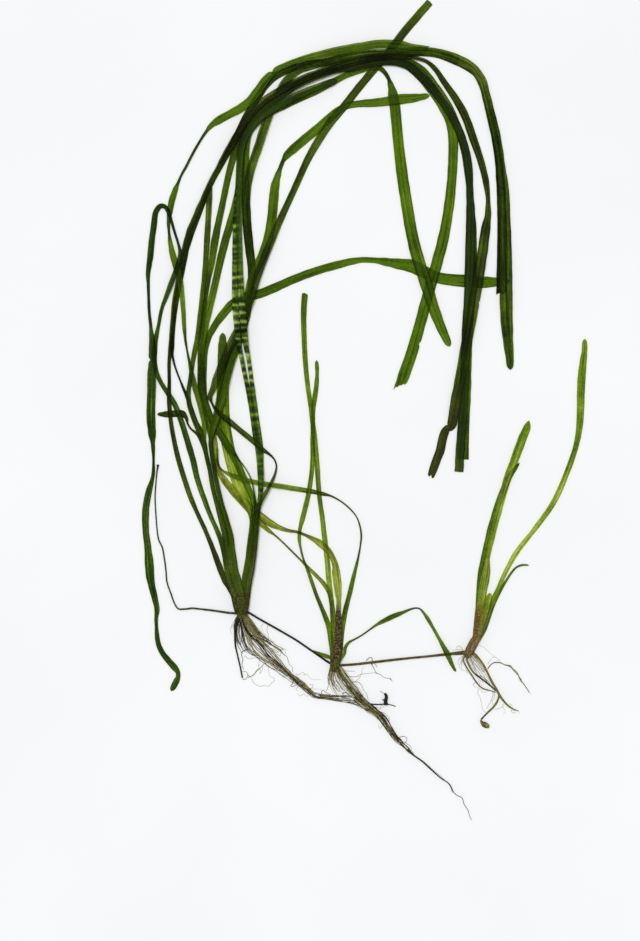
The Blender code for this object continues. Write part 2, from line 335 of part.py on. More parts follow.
        (35.5, 280.7, 3.6), (44.7, 283, 3.9), (55, 285.3, 3.9), (65.3, 286.9, 3.6), (75.6, 287.6, 3.3),
        (85.9, 288.2, 3.6), (95.1, 288.2, 4.1), (103.3, 286.6, 4.6), (111, 283.8, 4.9),
        (117.7, 279.9, 4.6), (122.1, 274.5, 4.6), (124.9, 265.8, 4.4), (127, 257.1, 4.6),
        (129.3, 247.8, 4.9), (131.4, 237.5, 4.4), (132.6, 228.3, 4.6), (133.9, 217, 5.7),
        (134.4, 204.1, 5.9), (134.7, 191.2, 6.4), (135, 178.4, 6.6), (135.2, 160.4, 6.7),
        (135.7, 147.5, 6.2), (136.5, 137.3, 5.1), (137.2, 129.6, 4.1), (137.5, 124.5, 0.5),
    )),
    "mother_leaf_hooked": (LEAF_GREEN, (
        (-0.9, 9, 1.3), (-1.9, 12.3, 1.4), (-2.8, 16.5, 1.6), (-4, 21.6, 1.7), (-4.7, 26.7, 1.8),
        (-5.6, 31.9, 1.9), (-6.4, 38.6, 2.1), (-8.6, 47.3, 2.2), (-11.2, 56.6, 2.2),
        (-13.2, 65.3, 2.2), (-14.7, 73, 2), (-16, 80.7, 2.1), (-16.5, 88.4, 2.2), (-15.9, 91.5, 2.6),
        (-13.9, 98.2, 3.1), (-11.8, 104.9, 3.3), (-9.8, 111.6, 3.3), (-8.2, 119.3, 3.3),
        (-6.3, 126.5, 3.3), (-4.1, 133.2, 3.6), (-1.8, 139.8, 3.6), (0, 147.5, 3.6), (1.4, 155.3, 3.6),
        (2.6, 163, 3.9), (4.4, 170.7, 4.1), (6.9, 176.9, 4.6), (10, 183, 4.9), (12.3, 189.7, 4.9),
        (14.1, 197.4, 4.9), (15.2, 205.6, 4.9), (15.8, 212.8, 4.9), (16.5, 219, 4.5),
        (17.8, 224.1, 3.3), (19.2, 228.3, 2.1), (20.6, 231.9, 2.1), (22.9, 235.2, 3.9),
        (26.2, 238.3, 4.6), (31.4, 242.7, 4.7), (37.5, 247.8, 4.6), (43.7, 253.2, 4.4),
        (48.8, 257.8, 3.6), (53, 259.9, 3.1), (57.6, 261, 3.3), (65.3, 261.6, 4), (73, 262.4, 4.6),
        (80.7, 263.6, 5.3), (86.9, 264.1, 4.6), (92, 264.8, 3.3), (95.9, 265.5, 0.8),
    )),
    "mother_leaf_banded_left": (DEEP_GREEN, (
        (2.4, 9, 1.3), (2.7, 12.3, 1.4), (3.2, 16.5, 1.9), (4.3, 21.6, 2.1), (5, 26.7, 2.1),
        (5.7, 31.9, 2.1), (6.2, 37, 2.1), (6.8, 42.2, 2.1), (7.2, 47.3, 2.1), (8, 53.5, 2.3),
        (8.9, 60.1, 2.4), (9, 67.9, 2.8), (8.6, 75.6, 2.9), (7.9, 83.3, 3.1), (6.5, 91, 3.1),
        (5.4, 98.7, 2.9), (4.1, 106.4, 2.6), (2.6, 114.1, 2.3), (1, 121.8, 2.2), (-0.5, 129.6, 2.2),
        (-1.8, 135.7, 2.4), (-2.6, 142.4, 2.9), (-3.3, 150.1, 3.2), (-3.8, 157.8, 3.4),
        (-4, 165.5, 3.4), (-3.9, 175.8, 3.4), (-3.8, 186.1, 3.3), (-3.6, 196.4, 3.3),
        (-3.1, 206.7, 3.2), (-2.6, 217, 2.8), (-2.2, 228.3, 2.6), (-1.5, 238.5, 2.8),
        (0.8, 246.3, 3.3), (5.1, 252.9, 3.6), (11.8, 258.8, 3.6), (19.5, 263.7, 3.6),
        (27.8, 268.4, 3.6), (37, 272.2, 3.3), (47.3, 276.3, 3.3), (57.6, 279.7, 3.3), (67.9, 282, 3.3),
        (77.1, 282.5, 3.6), (84.3, 280.7, 3.9), (91, 275.6, 4.1), (97.7, 268.4, 4.1),
        (103.1, 261.4, 4.1), (107.1, 255, 4.1), (110.7, 247.8, 4.1), (113.3, 241.1, 4.1),
        (115.2, 233.4, 4.1), (116, 227.2, 4.1), (116.4, 221.1, 3.6), (116.7, 211.8, 3.9),
        (117, 199, 4.9), (116.7, 186.1, 5.1), (116.4, 173.3, 5.1), (115.9, 160.4, 4.9),
        (115.2, 147.5, 4.8), (114.4, 134.7, 4.8), (114, 121.8, 4.6), (113.4, 109, 4.6),
        (112.6, 96.1, 4.6), (111.7, 84.3, 4.6), (111, 72, 4.6),
    )),
    "mother_leaf_banded_right": (DEEP_GREEN, (
        (2.4, 9, 1.3), (2.7, 12.3, 1.4), (3.2, 16.5, 1.9), (4.3, 21.6, 2.1), (5, 26.7, 2.1),
        (5.7, 31.9, 2.1), (6.2, 37, 2.1), (6.8, 42.2, 2.1), (7.2, 47.3, 2.1), (7.7, 53.5, 2.1),
        (9, 60.1, 2.1), (9.4, 67.9, 2.6), (9.3, 75.6, 2.6), (9, 83.3, 2.9), (8, 91, 3.1),
        (6.9, 98.7, 2.9), (5.9, 106.4, 2.8), (5.1, 113.1, 2.5), (4.1, 120.8, 2.2), (3.1, 128.5, 2.2),
        (1.8, 135.7, 2.6), (1, 142.4, 3.1), (0.3, 150.1, 3.4), (-0.4, 157.8, 3.6), (-1, 165.5, 3.3),
        (-1.5, 175.8, 3.1), (-1.8, 186.1, 3.1), (-2.1, 196.4, 3.1), (-2.1, 206.7, 2.9),
        (-1.8, 217, 2.6), (-1.3, 228.3, 2.6), (-0.3, 238.5, 2.8), (2.3, 245.7, 3.1), (7.2, 251.9, 3.3),
        (13.9, 257.1, 3.6), (21.6, 261.7, 3.9), (29.3, 265.8, 3.9), (38.6, 269.6, 3.6),
        (48.3, 273.2, 3.3),
    )),
    "mother_leaf_arch_dark": (DEEP_GREEN, (
        (-5.9, 9, 1.3), (-7.6, 12.3, 1.7), (-9.7, 16.5, 2.7), (-11.5, 21.6, 3.1), (-13.4, 26.7, 3),
        (-15.7, 32.9, 2.4), (-19.5, 42.2, 2.2), (-24.2, 52.4, 2.2), (-27.2, 59.6, 2.6),
        (-30.3, 68.9, 2.6), (-33.4, 79.2, 2.6), (-35.7, 89.5, 2.3), (-37.2, 98.7, 2.1),
        (-38, 109, 2.2), (-37.9, 119.3, 1.8), (-38, 127, 1.8), (-37.3, 137.3, 1.9),
        (-36.2, 149.1, 2.3), (-35, 160.4, 2.7), (-33.3, 169.1, 2.8), (-31.4, 178.4, 2.8),
        (-29.9, 186.1, 3.3), (-28.5, 191.2, 3.6), (-26.9, 196.4, 3.8), (-24.7, 201.5, 3.6),
        (-22.7, 206.7, 3.3), (-20.6, 211.8, 2.8), (-18.4, 217, 2.6), (-16, 222.1, 2.6),
        (-13.1, 227.2, 2.7), (-10.4, 232.4, 3), (-7.2, 238, 3.3), (-3.1, 244.7, 3.6), (1, 251.4, 3.6),
        (5.7, 257.6, 3.9), (11.3, 262.7, 3.9), (19, 267.6, 3.9), (29.3, 273, 3.9), (39.6, 277.1, 3.9),
        (49.9, 280.7, 3.9), (60.1, 283.3, 3.6), (70.4, 284.8, 3.1), (80.7, 285.3, 2.6),
        (88.4, 284.6, 1.8), (94.6, 282.8, 2), (98.7, 279.2, 2.6), (103.3, 272.5, 3.1),
        (108, 265.8, 3.6), (112.1, 259.1, 4.1), (115.4, 251.9, 4.1), (118.2, 243.7, 4.1),
        (122.1, 232.4, 3.6), (124.7, 222.1, 3.3), (126, 211.8, 2.2), (125.9, 204.1, 3.3),
        (124.7, 196.4, 4.9), (123.6, 188.7, 5.1), (122.4, 181, 5.3), (120.8, 170.7, 5.4),
        (119, 160.4, 5.4), (116.7, 147.5, 5.4), (114.6, 137.3, 5.4), (112.6, 125.4, 5.4),
        (110.5, 114.1, 5.4), (109, 106.4, 5.4), (107.6, 98.7, 5.1), (106.7, 95.1, 2.8),
        (104.6, 93.1, 4.4), (103.3, 88.4, 4.6), (101.5, 83.3, 4.6), (99.5, 78.1, 4.4),
        (97.9, 73.5, 4.3), (96.8, 70.4, 3.6),
    )),
    "mother_leaf_arch_torn": (LEAF_GREEN, (
        (-2.6, 9, 1.3), (-3.6, 12.3, 1.4), (-4.8, 16.5, 1.6), (-6.2, 21.6, 1.7), (-6.9, 26.7, 1.8),
        (-7.8, 31.9, 1.9), (-9, 38.6, 2.1), (-11.2, 47.3, 2.2), (-13.7, 56.6, 2.2), (-15.8, 65.3, 2.2),
        (-17.1, 73, 2.1), (-18.9, 80.7, 2.1), (-20.3, 88.4, 2.2), (-19.8, 96.1, 2.6),
        (-21.1, 102.8, 2.8), (-22.6, 109, 3.1), (-24.2, 114.1, 3.1), (-25.6, 119.3, 2.6),
        (-26.7, 124.4, 2.1), (-27.8, 129.6, 1.3), (-28.8, 134.7, 1), (-29.6, 139.8, 1.3),
        (-30.3, 147.5, 2.1), (-30.7, 155.3, 2.3), (-31.4, 163, 2.6), (-32.4, 170.2, 3.1),
        (-34.2, 177.4, 3.6), (-36.1, 183.5, 3.2), (-37.3, 189.2, 2.3), (-38, 194.8, 1.3),
        (-38.3, 200.5, 1.8), (-37.5, 206.7, 3.1), (-36.2, 212.8, 3.3), (-34.8, 217, 2.8),
        (-33.4, 220.5, 1.5), (-31.9, 224.1, 1.2), (-29.3, 228.8, 1.4), (-26.2, 234.9, 1.4),
        (-22.1, 242.1, 1.3), (-19, 246.8, 1.5), (-16.5, 249.9, 2.6), (-12.3, 252.9, 4.1),
        (-6.7, 256, 4.1), (-1.5, 258.8, 4.4), (3.3, 262.7, 4.5), (7.2, 267.3, 4.6), (10.5, 272, 4.4),
        (13.4, 275.1, 2.8), (16.5, 277.9, 2.8), (21.6, 280.7, 3.1), (29.3, 283.8, 3.3),
        (37, 285.6, 3.9), (47.3, 287.9, 4.4), (60.1, 290.2, 4.4), (70.4, 291.8, 4.3),
        (80.7, 291.3, 4.4), (88.4, 290, 3.1), (94.9, 289.4, 2.6),
    )),
    "mother_leaf_straight": (LEAF_GREEN, (
        (2.4, 9, 1.3), (2.7, 12.3, 1.4), (3.2, 16.5, 1.9), (4.3, 21.6, 2.1), (5, 26.7, 2.1),
        (5.7, 31.9, 2.1), (6.2, 37, 2.1), (6.8, 42.2, 2.1), (7.2, 47.3, 2.1), (8.5, 55, 2.1),
        (10.8, 59.6, 2.1), (13.1, 63.7, 1.8), (15.2, 67.9, 1.5), (16.7, 71.7, 1.2), (17.2, 75.1, 0.9),
        (15.9, 78.7, 0.9), (13.4, 81.2, 1.3), (10, 83.5, 2.4), (6.7, 86.6, 2.8), (2.6, 90, 2.8),
        (-2.1, 93.8, 2.8), (-6.7, 97.7, 3.1), (-10.8, 101, 2.8), (-13.9, 104.1, 1.8),
        (-16, 107.4, 1.1), (-17, 110.5, 2.6), (-15.6, 114.1, 3.1), (-13.9, 119.3, 3.6),
        (-11.5, 125.4, 3.9), (-8.7, 132.1, 4.1), (-5.9, 138.3, 4.1), (-2.6, 145, 3.9), (1, 152.7, 3.6),
        (4.1, 160.4, 3.6), (6.7, 169.7, 3.6), (9.8, 178.9, 3.9), (13.9, 189.2, 3.9),
        (18.5, 200.2, 3.6), (23.6, 211.3, 3.3), (28.3, 221.6, 3.4), (32.9, 231.9, 3.6),
        (38.6, 242.1, 4.1), (44.7, 251.4, 4.3), (51.7, 259.6, 4.1), (58.6, 268.4, 4),
        (67.3, 278.9, 4.1), (76.1, 289.4, 4.1), (83.3, 298.7, 4.2), (91, 307.7, 4.1),
        (96.1, 313.6, 3.9),
    )),
    "mother_leaf_far_left": (LEAF_GREEN, (
        (-4.2, 9, 1.3), (-5.6, 12.3, 1.4), (-7, 16.5, 1.6), (-8.3, 21.6, 1.9), (-9.5, 28.8, 2),
        (-11, 35.5, 2.1), (-13, 41.1, 2.2), (-15.8, 47.3, 2.3), (-19.8, 57.6, 2.6), (-23.6, 68.9, 2.8),
        (-25.7, 78.1, 3.1), (-28, 85.9, 3.1), (-30.8, 95.1, 2.8), (-32.9, 101.3, 2.8),
        (-34.7, 105.9, 2.8), (-37, 110, 2.6), (-39.8, 114.1, 2.3), (-42.9, 119.3, 2.3),
        (-44.5, 123.4, 2.3), (-45.5, 128.5, 2.6), (-45.5, 133.7, 2.8), (-44.7, 140.9, 2.3),
        (-43.4, 147.5, 1.8), (-41.6, 156.3, 1.8), (-39.1, 163, 2.3), (-37, 168.6, 2.6),
        (-35, 173.8, 2.6), (-33.2, 179.4, 2.1), (-32.4, 185.1, 1.8), (-33.4, 189.7, 1.3),
        (-35.2, 195.4, 1.3), (-37, 201.5, 1.5), (-38.6, 206.2, 2.1), (-40.4, 208.5, 2.3),
        (-42.4, 208.7, 2.6), (-44.3, 206.7, 2.8), (-45.5, 201.5, 3.1), (-46, 197.4, 3.1),
        (-47, 190.2, 3.1), (-47.5, 184, 3.2), (-48.2, 178.9, 2.8), (-48.8, 174.3, 2.3),
        (-48.7, 168.6, 1.6), (-48.5, 161.4, 1.4), (-48.2, 154.2, 1.5), (-47.5, 147.5, 1.6),
        (-46.9, 140.9, 2.6), (-46.6, 134.7, 3.6), (-46.5, 128.5, 4.1), (-46.9, 121.8, 4.4),
        (-47, 114.1, 4.4), (-47.3, 106.4, 4.4), (-47.3, 98.7, 4.6), (-46.8, 92.5, 4.1),
        (-46.3, 85.9, 2.1), (-46, 78.1, 1.3), (-46.3, 69.9, 1.8), (-48.6, 61.2, 3.3),
        (-50.1, 51.4, 3.6), (-49.9, 41.1, 3.3), (-48.8, 31.9, 3.6), (-48.3, 25.7, 4.6),
        (-47.8, 19, 4.4), (-47, 13.9, 3.6), (-45.4, 7.2, 3.1), (-44.2, 1, 2.7), (-44.6, -3.1, 1.9),
        (-44.5, -7.7, 1.7), (-44.1, -12.9, 2.4), (-43.2, -17.5, 2.6), (-41.4, -21.1, 2.8),
        (-38.6, -24.7, 3.1), (-35.5, -28.3, 3.3), (-33.4, -31.4, 2.3), (-33.4, -33.4, 2.3),
        (-34.2, -35.5, 3.1), (-35.2, -37.5, 3.1), (-37, -40.6, 0.5),
    )),
}


def flat_material(name, colour):
    material = bpy.data.materials.new(name)
    material.use_nodes = True
    shader = material.node_tree.nodes["Principled BSDF"]
    shader.inputs["Base Color"].default_value = (*colour, 1.0)
    shader.inputs["Roughness"].default_value = 0.6
    return material


def add_solid(name, colour, rings):
    """One closed solid through rings of points, given in millimetres from its base to its tip."""
    shape = bmesh.new()
    rows = [[shape.verts.new([value * MM for value in point]) for point in ring] for ring in rings]
    count = len(rows[0])
    for low, high in zip(rows, rows[1:]):
        for side in range(count):
            after = (side + 1) % count
            shape.faces.new((low[side], low[after], high[after], high[side]))
    shape.faces.new(rows[0][::-1])
    shape.faces.new(rows[-1])
    bmesh.ops.recalc_face_normals(shape, faces=shape.faces)
    bmesh.ops.triangulate(shape, faces=shape.faces)
    mesh = bpy.data.meshes.new(name)
    shape.to_mesh(mesh)
    shape.free()
    mesh.materials.append(flat_material(name, colour))
    solid = bpy.data.objects.new(name, mesh)
    bpy.context.collection.objects.link(solid)


def tangent(before, here, after):
    """Direction of a smooth curve at a point, from its two neighbours and their distances."""
    back = np.linalg.norm(here - before)
    ahead = np.linalg.norm(after - here)
    if back == 0.0:
        return (after - here) / ahead
    if ahead == 0.0:
        return (here - before) / back
    return ((here - before) / back * ahead + (after - here) / ahead * back) / (back + ahead)


def smooth_line(route):
    """Points every half millimetre along a smooth curve through the route: x, y and width."""
    route = np.array(route)
    padded = np.vstack([route[:1], route, route[-1:]])
    line = []
    for before, here, after, beyond in zip(padded, padded[1:], padded[2:], padded[3:]):
        length = np.linalg.norm(after[:2] - here[:2])
        leave = tangent(before[:2], here[:2], after[:2]) * length
        reach = tangent(here[:2], after[:2], beyond[:2]) * length
        for t in np.linspace(0, 1, max(2, round(length / LINE_STEP)), endpoint=False):
            place = ((2 * t**3 - 3 * t**2 + 1) * here[:2] + (t**3 - 2 * t**2 + t) * leave
                     + (3 * t**2 - 2 * t**3) * after[:2] + (t**3 - t**2) * reach)
            line.append((*place, here[2] + (after[2] - here[2]) * t))
    line.append(route[-1])
    return np.array(line)


def section_places(line):
    """Indices of the points that get a section: far apart on straights, close together in bends."""
    step = np.diff(line[:, :2], axis=0)
    heading = np.unwrap(np.arctan2(step[:, 1], step[:, 0]))
    along = np.concatenate([[0], np.cumsum(np.linalg.norm(step, axis=1))])
    turned = np.concatenate([[0, 0], np.cumsum(np.abs(np.diff(heading)))])
    places = [0]
    last = len(line) - 1
    while places[-1] < last:
        start = places[-1]
        end = start + 1
        while end < last:
            far = end + 1
            share = (along[start:far + 1] - along[start]) / (along[far] - along[start])
            straight = line[start, 2] + (line[far, 2] - line[start, 2]) * share
            if (along[far] - along[start] > STEP_MAX or turned[far] - turned[start] > TURN_MAX
                    or np.abs(line[start:far + 1, 2] - straight).max() > WIDTH_ERROR):
                break
            end = far
        places.append(end)
    return places


def edges(line, places):
    """Left and right edge points of the sections, square to the way the line runs there."""
    left, right = [], []
    for place in places:
        here = line[place, :2]
        way = line[min(place + 2, len(line) - 1), :2] - line[max(place - 2, 0), :2]
        across = np.array([-way[1], way[0]]) / np.linalg.norm(way) * line[place, 2] / 2
        left.append(here + across)
        right.append(here - across)
    return np.array(left), np.array(right)


class Pile:
    """The height of what already lies on the sheet, in millimetres."""

    def __init__(self):
        self.height = np.zeros((round(SHEET_WIDE / CELL), round(SHEET_TALL / CELL)))

    def stretch_cells(self, left, right, index):
        """Grid cells under the stretch between two neighbouring sections, with the share along it."""
        low_left, high_left, low_right, high_right = left[index], left[index + 1], right[index], right[index + 1]
        length = max(np.linalg.norm(high_left - low_left), np.linalg.norm(high_right - low_right))
        wide = max(np.linalg.norm(low_left - low_right), np.linalg.norm(high_left - high_right))
        along = np.linspace(0, 1, 2 + int(length / PROBE))[:, None, None]
        across = np.linspace(0, 1, 2 + int(wide / PROBE))[None, :, None]
        low = low_left + (low_right - low_left) * across
        high = high_left + (high_right - high_left) * across
        spots = low + (high - low) * along
        columns = ((spots[..., 0] - SHEET_LEFT) / CELL).astype(int)
        rows = ((spots[..., 1] - SHEET_FOOT) / CELL).astype(int)
        return columns, rows, np.broadcast_to(along[..., 0], columns.shape)

    def highest(self, left, right, index):
        columns, rows, _ = self.stretch_cells(left, right, index)
        return self.height[columns, rows].max()

    def cover(self, left, right, index, low_top, high_top):
        columns, rows, along = self.stretch_cells(left, right, index)
        np.maximum.at(self.height, (columns, rows), low_top + (high_top - low_top) * along)


def lay(pile, name, colour, route, section, height_of):
    """Lays a leaf, stem or root along its route, over whatever lies there, and adds its solid."""
    line = smooth_line(route)
    places = section_places(line)
    left, right = edges(line, places)
    along = np.concatenate([[0], np.cumsum(np.linalg.norm(np.diff(line[:, :2], axis=0), axis=1))])[places]
    heights = [height_of(line[place, 2]) for place in places]
    ground = []
    bases = []
    covered = 0
    for index in range(len(places)):
        while along[index] - along[covered] > SELF_REACH + STEP_MAX:
            pile.cover(left, right, covered, bases[covered] + heights[covered],
                       bases[covered + 1] + heights[covered + 1])
            covered += 1
        if index < len(places) - 1:
            ground.append(pile.highest(left, right, index))
        under = max(ground[max(index - 1, 0):])
        bases.append(under + LAYER_GAP if under > 0 else 0.0)
    for index in range(covered, len(places) - 1):
        pile.cover(left, right, index, bases[index] + heights[index], bases[index + 1] + heights[index + 1])
    rings = []
    for one, other, base, height in zip(left, right, bases, heights):
        middle, half = (one + other) / 2, (other - one) / 2
        rings.append([(*(middle + 2 * share * half), base + rise * height) for share, rise in section])
    add_solid(name, colour, rings)


def blade_height(width):
    return LEAF_THICK + FOLD_EXTRA * min(max((FOLD_WIDTH - width) / FOLD_WIDTH * 2, 0.0), 1.0)


def stem_height(width):
    return min(width * STEM_ROUNDNESS, BUNDLE_HEIGHT)


def lay_crown(pile, name, lean, sections):
    """A short flattened stem with a flat underside, through parallel sections square to its lean."""
    across = np.array([math.cos(lean), -math.sin(lean)])
    left = np.array([np.array([x, y]) - across * width / 2 for x, y, width, _ in sections])
    right = np.array([np.array([x, y]) + across * width / 2 for x, y, width, _ in sections])
    rises = [section[3] for section in sections]
    for index in range(len(sections) - 1):
        pile.cover(left, right, index, rises[index], rises[index + 1])
    rings = []
    for one, other, rise in zip(left, right, rises):
        middle, half = (one + other) / 2, (other - one) / 2
        rings.append([(*(middle + 2 * share * half), up * rise) for share, up in CROWN_SECTION])
    add_solid(name, CROWN_BROWN, rings)


def build():
    for leftover in list(bpy.data.objects):
        bpy.data.objects.remove(leftover, do_unlink=True)
    pile = Pile()
    for name, (lean, sections) in CROWNS.items():
        lay_crown(pile, name, lean, sections)
    for name, (colour, route) in STEMS_AND_ROOTS.items():
        lay(pile, name, colour, route, STEM_SECTION, stem_height)
    for name, (colour, route) in LEAVES.items():
        lay(pile, name, colour, route, BLADE_SECTION, blade_height)


build()
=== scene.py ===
import math
import random

import bpy
import numpy as np
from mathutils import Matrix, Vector, noise
from mathutils.bvhtree import BVHTree


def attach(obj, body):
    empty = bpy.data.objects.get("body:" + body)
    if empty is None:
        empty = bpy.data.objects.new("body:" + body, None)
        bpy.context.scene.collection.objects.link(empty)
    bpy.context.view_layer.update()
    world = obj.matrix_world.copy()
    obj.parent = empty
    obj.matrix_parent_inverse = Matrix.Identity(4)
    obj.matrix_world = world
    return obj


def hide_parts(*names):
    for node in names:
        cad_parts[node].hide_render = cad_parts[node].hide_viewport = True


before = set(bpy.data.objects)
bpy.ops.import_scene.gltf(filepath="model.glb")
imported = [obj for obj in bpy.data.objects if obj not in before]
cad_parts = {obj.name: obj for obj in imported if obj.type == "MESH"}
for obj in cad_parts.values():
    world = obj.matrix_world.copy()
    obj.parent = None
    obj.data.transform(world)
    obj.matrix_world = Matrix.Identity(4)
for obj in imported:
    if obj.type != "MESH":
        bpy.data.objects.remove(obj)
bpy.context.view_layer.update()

# The plant lies pressed flat and is looked at from straight above. The lens is long and far off,
# so the leaves that lie higher in the pile keep their places.
VIEW_CENTRE = (0.0396, 0.0727)
VIEW_HEIGHT = 1.8143
bpy.ops.object.camera_add(location=(*VIEW_CENTRE, VIEW_HEIGHT), rotation=(0.0, 0.0, 0.0))
camera = bpy.context.object
camera.name = "overhead_camera"
camera.data.lens = 135.0
camera.data.sensor_width = 36.0
bpy.context.scene.camera = camera
bpy.context.scene.view_settings.view_transform = "Standard"
bpy.context.scene.cycles.transparent_max_bounces = 40

# Even daylight from all round, with one soft lamp nearly overhead, so that the thin leaves throw
# hardly any shadow past their own edges.
world = bpy.data.worlds.new("soft_daylight")
world.use_nodes = True
world.node_tree.nodes["Background"].inputs["Color"].default_value = (0.99, 0.995, 1.0, 1.0)
world.node_tree.nodes["Background"].inputs["Strength"].default_value = 0.42
bpy.context.scene.world = world
bpy.ops.object.light_add(type="SUN", location=(-0.3, 0.4, 1.5), rotation=(-0.16, -0.13, 0.0))
lamp = bpy.context.object
lamp.name = "overhead_lamp"
lamp.data.angle = 0.3
lamp.data.energy = 1.95

# A pale smooth floor under everything, a touch uneven in tone.


def add_node(tree, kind, inputs=(), **settings):
    """One shader node, with its settings and the values or links of its sockets."""
    made = tree.nodes.new(kind)
    for setting, value in settings.items():
        setattr(made, setting, value)
    for socket, value in dict(inputs).items():
        if isinstance(value, bpy.types.NodeSocket):
            tree.links.new(value, made.inputs[socket])
        else:
            made.inputs[socket].default_value = value
    return made


def tint(red, green, blue):
    """A colour as it looks, in parts of 255, made linear for the shaders."""
    return tuple(
        (c / 12.92 if c <= 0.04045 else ((c + 0.055) / 1.055) ** 2.4)
        for c in (red / 255, green / 255, blue / 255)
    )


def colour_ramp(tree, factor, stops):
    """A ramp through (position, linear colour) stops."""
    ramp = add_node(tree, "ShaderNodeValToRGB", {"Fac": factor})
    keys = ramp.color_ramp.elements
    while len(keys) < len(stops):
        keys.new(0.5)
    for key, (position, colour) in zip(keys, stops):
        key.position = position
        key.color = (*colour, 1.0)
    return ramp.outputs["Color"]


bpy.ops.mesh.primitive_plane_add(size=4.0, location=(0.04, 0.07, -0.0003))
floor = bpy.context.object
floor.name = "pale_floor"
bpy.ops.object.transform_apply(location=True, rotation=True, scale=True)
floor_finish = bpy.data.materials.new("pale_floor")
floor_finish.use_nodes = True
tree = floor_finish.node_tree
where = add_node(tree, "ShaderNodeTexCoord").outputs["Object"]
cloud = add_node(tree, "ShaderNodeTexNoise", {"Vector": where, "Scale": 6.0, "Detail": 3.0})
pale = colour_ramp(tree, cloud.outputs["Fac"], ((0.3, tint(243, 244, 245)), (0.7, tint(247, 248, 249))))
shader = tree.nodes["Principled BSDF"]
tree.links.new(pale, shader.inputs["Base Color"])
shader.inputs["Roughness"].default_value = 0.9
shader.inputs["Specular IOR Level"].default_value = 0.1
floor.data.materials.append(floor_finish)

# Crowns: the short thick stems at the foot of each rosette, from which leaves, runners and roots
# grow. They are tough brown tissue with fibrous remains of old leaves, pressed nearly flat.
MM = 0.001
CROWNS = {
    # lean to the right in degrees, and rings from the roots to the leaf bases: x, y, width, height in mm
    "mother_crown": (0, (
        (0, -3.8, 4.1, 2.4), (-0.3, -1.8, 5.4, 3.8), (-0.5, 1, 5.7, 4.2), (-0.7, 3.6, 6.2, 4.1),
        (-1.2, 6.2, 7.5, 3.8), (-1.7, 8.3, 9.6, 3.2),
    )),
    "middle_crown": (0, (
        (47.3, -31.1, 2.6, 2), (47, -29.6, 4.4, 3.6), (47.1, -26.2, 5.4, 4.2), (47.7, -23.1, 5, 3.8),
        (48.1, -21, 5.8, 3.2),
    )),
    "young_crown": (27, (
        (114.4, -23.4, 2.3, 1.8), (115.2, -22.1, 4.1, 3.2), (116.4, -19.8, 4.9, 3.8),
        (118.1, -16.7, 4.6, 3.5), (119.7, -13.7, 5.4, 2.8),
    )),
}


def deselect_everything():
    if bpy.context.object and bpy.context.object.mode != "OBJECT":
        bpy.ops.object.mode_set(mode="OBJECT")
    bpy.ops.object.select_all(action="DESELECT")


def fibrous_finish(name, dark, middle, pale, bump):
    """Old plant tissue: fine fibres along the piece's Y, with blotches and a dull surface."""
    finish = bpy.data.materials.new(name)
    finish.use_nodes = True
    tree = finish.node_tree
    where = add_node(tree, "ShaderNodeTexCoord").outputs["Object"]
    drawn = add_node(tree, "ShaderNodeMapping", {"Vector": where, "Scale": (2400.0, 420.0, 1500.0)})
    fibres = add_node(tree, "ShaderNodeTexNoise", {"Vector": drawn.outputs[0], "Scale": 1.0, "Detail": 4.0})
    blotches = add_node(tree, "ShaderNodeTexNoise", {"Vector": where, "Scale": 420.0, "Detail": 3.0})
    mixed = add_node(
        tree, "ShaderNodeMath", {0: fibres.outputs["Fac"], 1: blotches.outputs["Fac"]}, operation="ADD"
    )
    shade = colour_ramp(
        tree,
        add_node(tree, "ShaderNodeMath", {0: mixed.outputs[0], 1: 0.5}, operation="MULTIPLY").outputs[0],
        ((0.36, dark), (0.5, middle), (0.64, pale)),
    )
    shader = tree.nodes["Principled BSDF"]
    tree.links.new(shade, shader.inputs["Base Color"])
    shader.inputs["Roughness"].default_value = 0.75
    shader.inputs["Specular IOR Level"].default_value = 0.2
    rough = add_node(
        tree, "ShaderNodeBump", {"Height": fibres.outputs["Fac"], "Strength": bump, "Distance": 0.0003}
    )
    tree.links.new(rough.outputs["Normal"], shader.inputs["Normal"])
    return finish


crown_finish = fibrous_finish("crown_fibres", tint(44, 38, 14), tint(84, 78, 34), tint(146, 138, 84), 0.6)
for crown_name, (lean, rings) in CROWNS.items():
    deselect_everything()
    first_x, first_y, first_wide, first_tall = rings[0]
    bpy.ops.mesh.primitive_circle_add(vertices=20, radius=0.5, fill_type="NGON")
    crown = bpy.context.object
    crown.name = crown_name + "_flesh"
    bpy.ops.object.mode_set(mode="EDIT")
    bpy.ops.mesh.select_all(action="SELECT")
    for _ in rings[1:]:
        bpy.ops.mesh.extrude_region_move(TRANSFORM_OT_translate={"value": (0.0, 0.0, 1.0)})
    bpy.ops.object.mode_set(mode="OBJECT")
    side = (math.cos(math.radians(lean)), -math.sin(math.radians(lean)))
    for point in crown.data.vertices:
        x, y, wide, tall = rings[round(point.co.z)]
        across, up = point.co.x, point.co.y
        bulge = 1 + 0.07 * noise.noise(Vector((across * 9, point.co.z * 0.9, len(rings))))
        shift = across * wide * bulge
        point.co = Vector((x + shift * side[0], y + shift * side[1], (up + 0.5) * tall * 0.98 + 0.02)) * MM
    deselect_everything()
    crown.select_set(True)
    bpy.context.view_layer.objects.active = crown
    bpy.ops.object.mode_set(mode="EDIT")
    bpy.ops.mesh.select_all(action="SELECT")
    bpy.ops.mesh.normals_make_consistent(inside=False)
    bpy.ops.object.mode_set(mode="OBJECT")
    rounding = crown.modifiers.new("rounding", "SUBSURF")
    rounding.levels = 2
    rounding.render_levels = 2
    bpy.ops.object.modifier_apply(modifier=rounding.name)
    bpy.ops.object.shade_smooth()
    crown.data.materials.append(crown_finish)
    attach(crown, "root")
    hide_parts(crown_name)

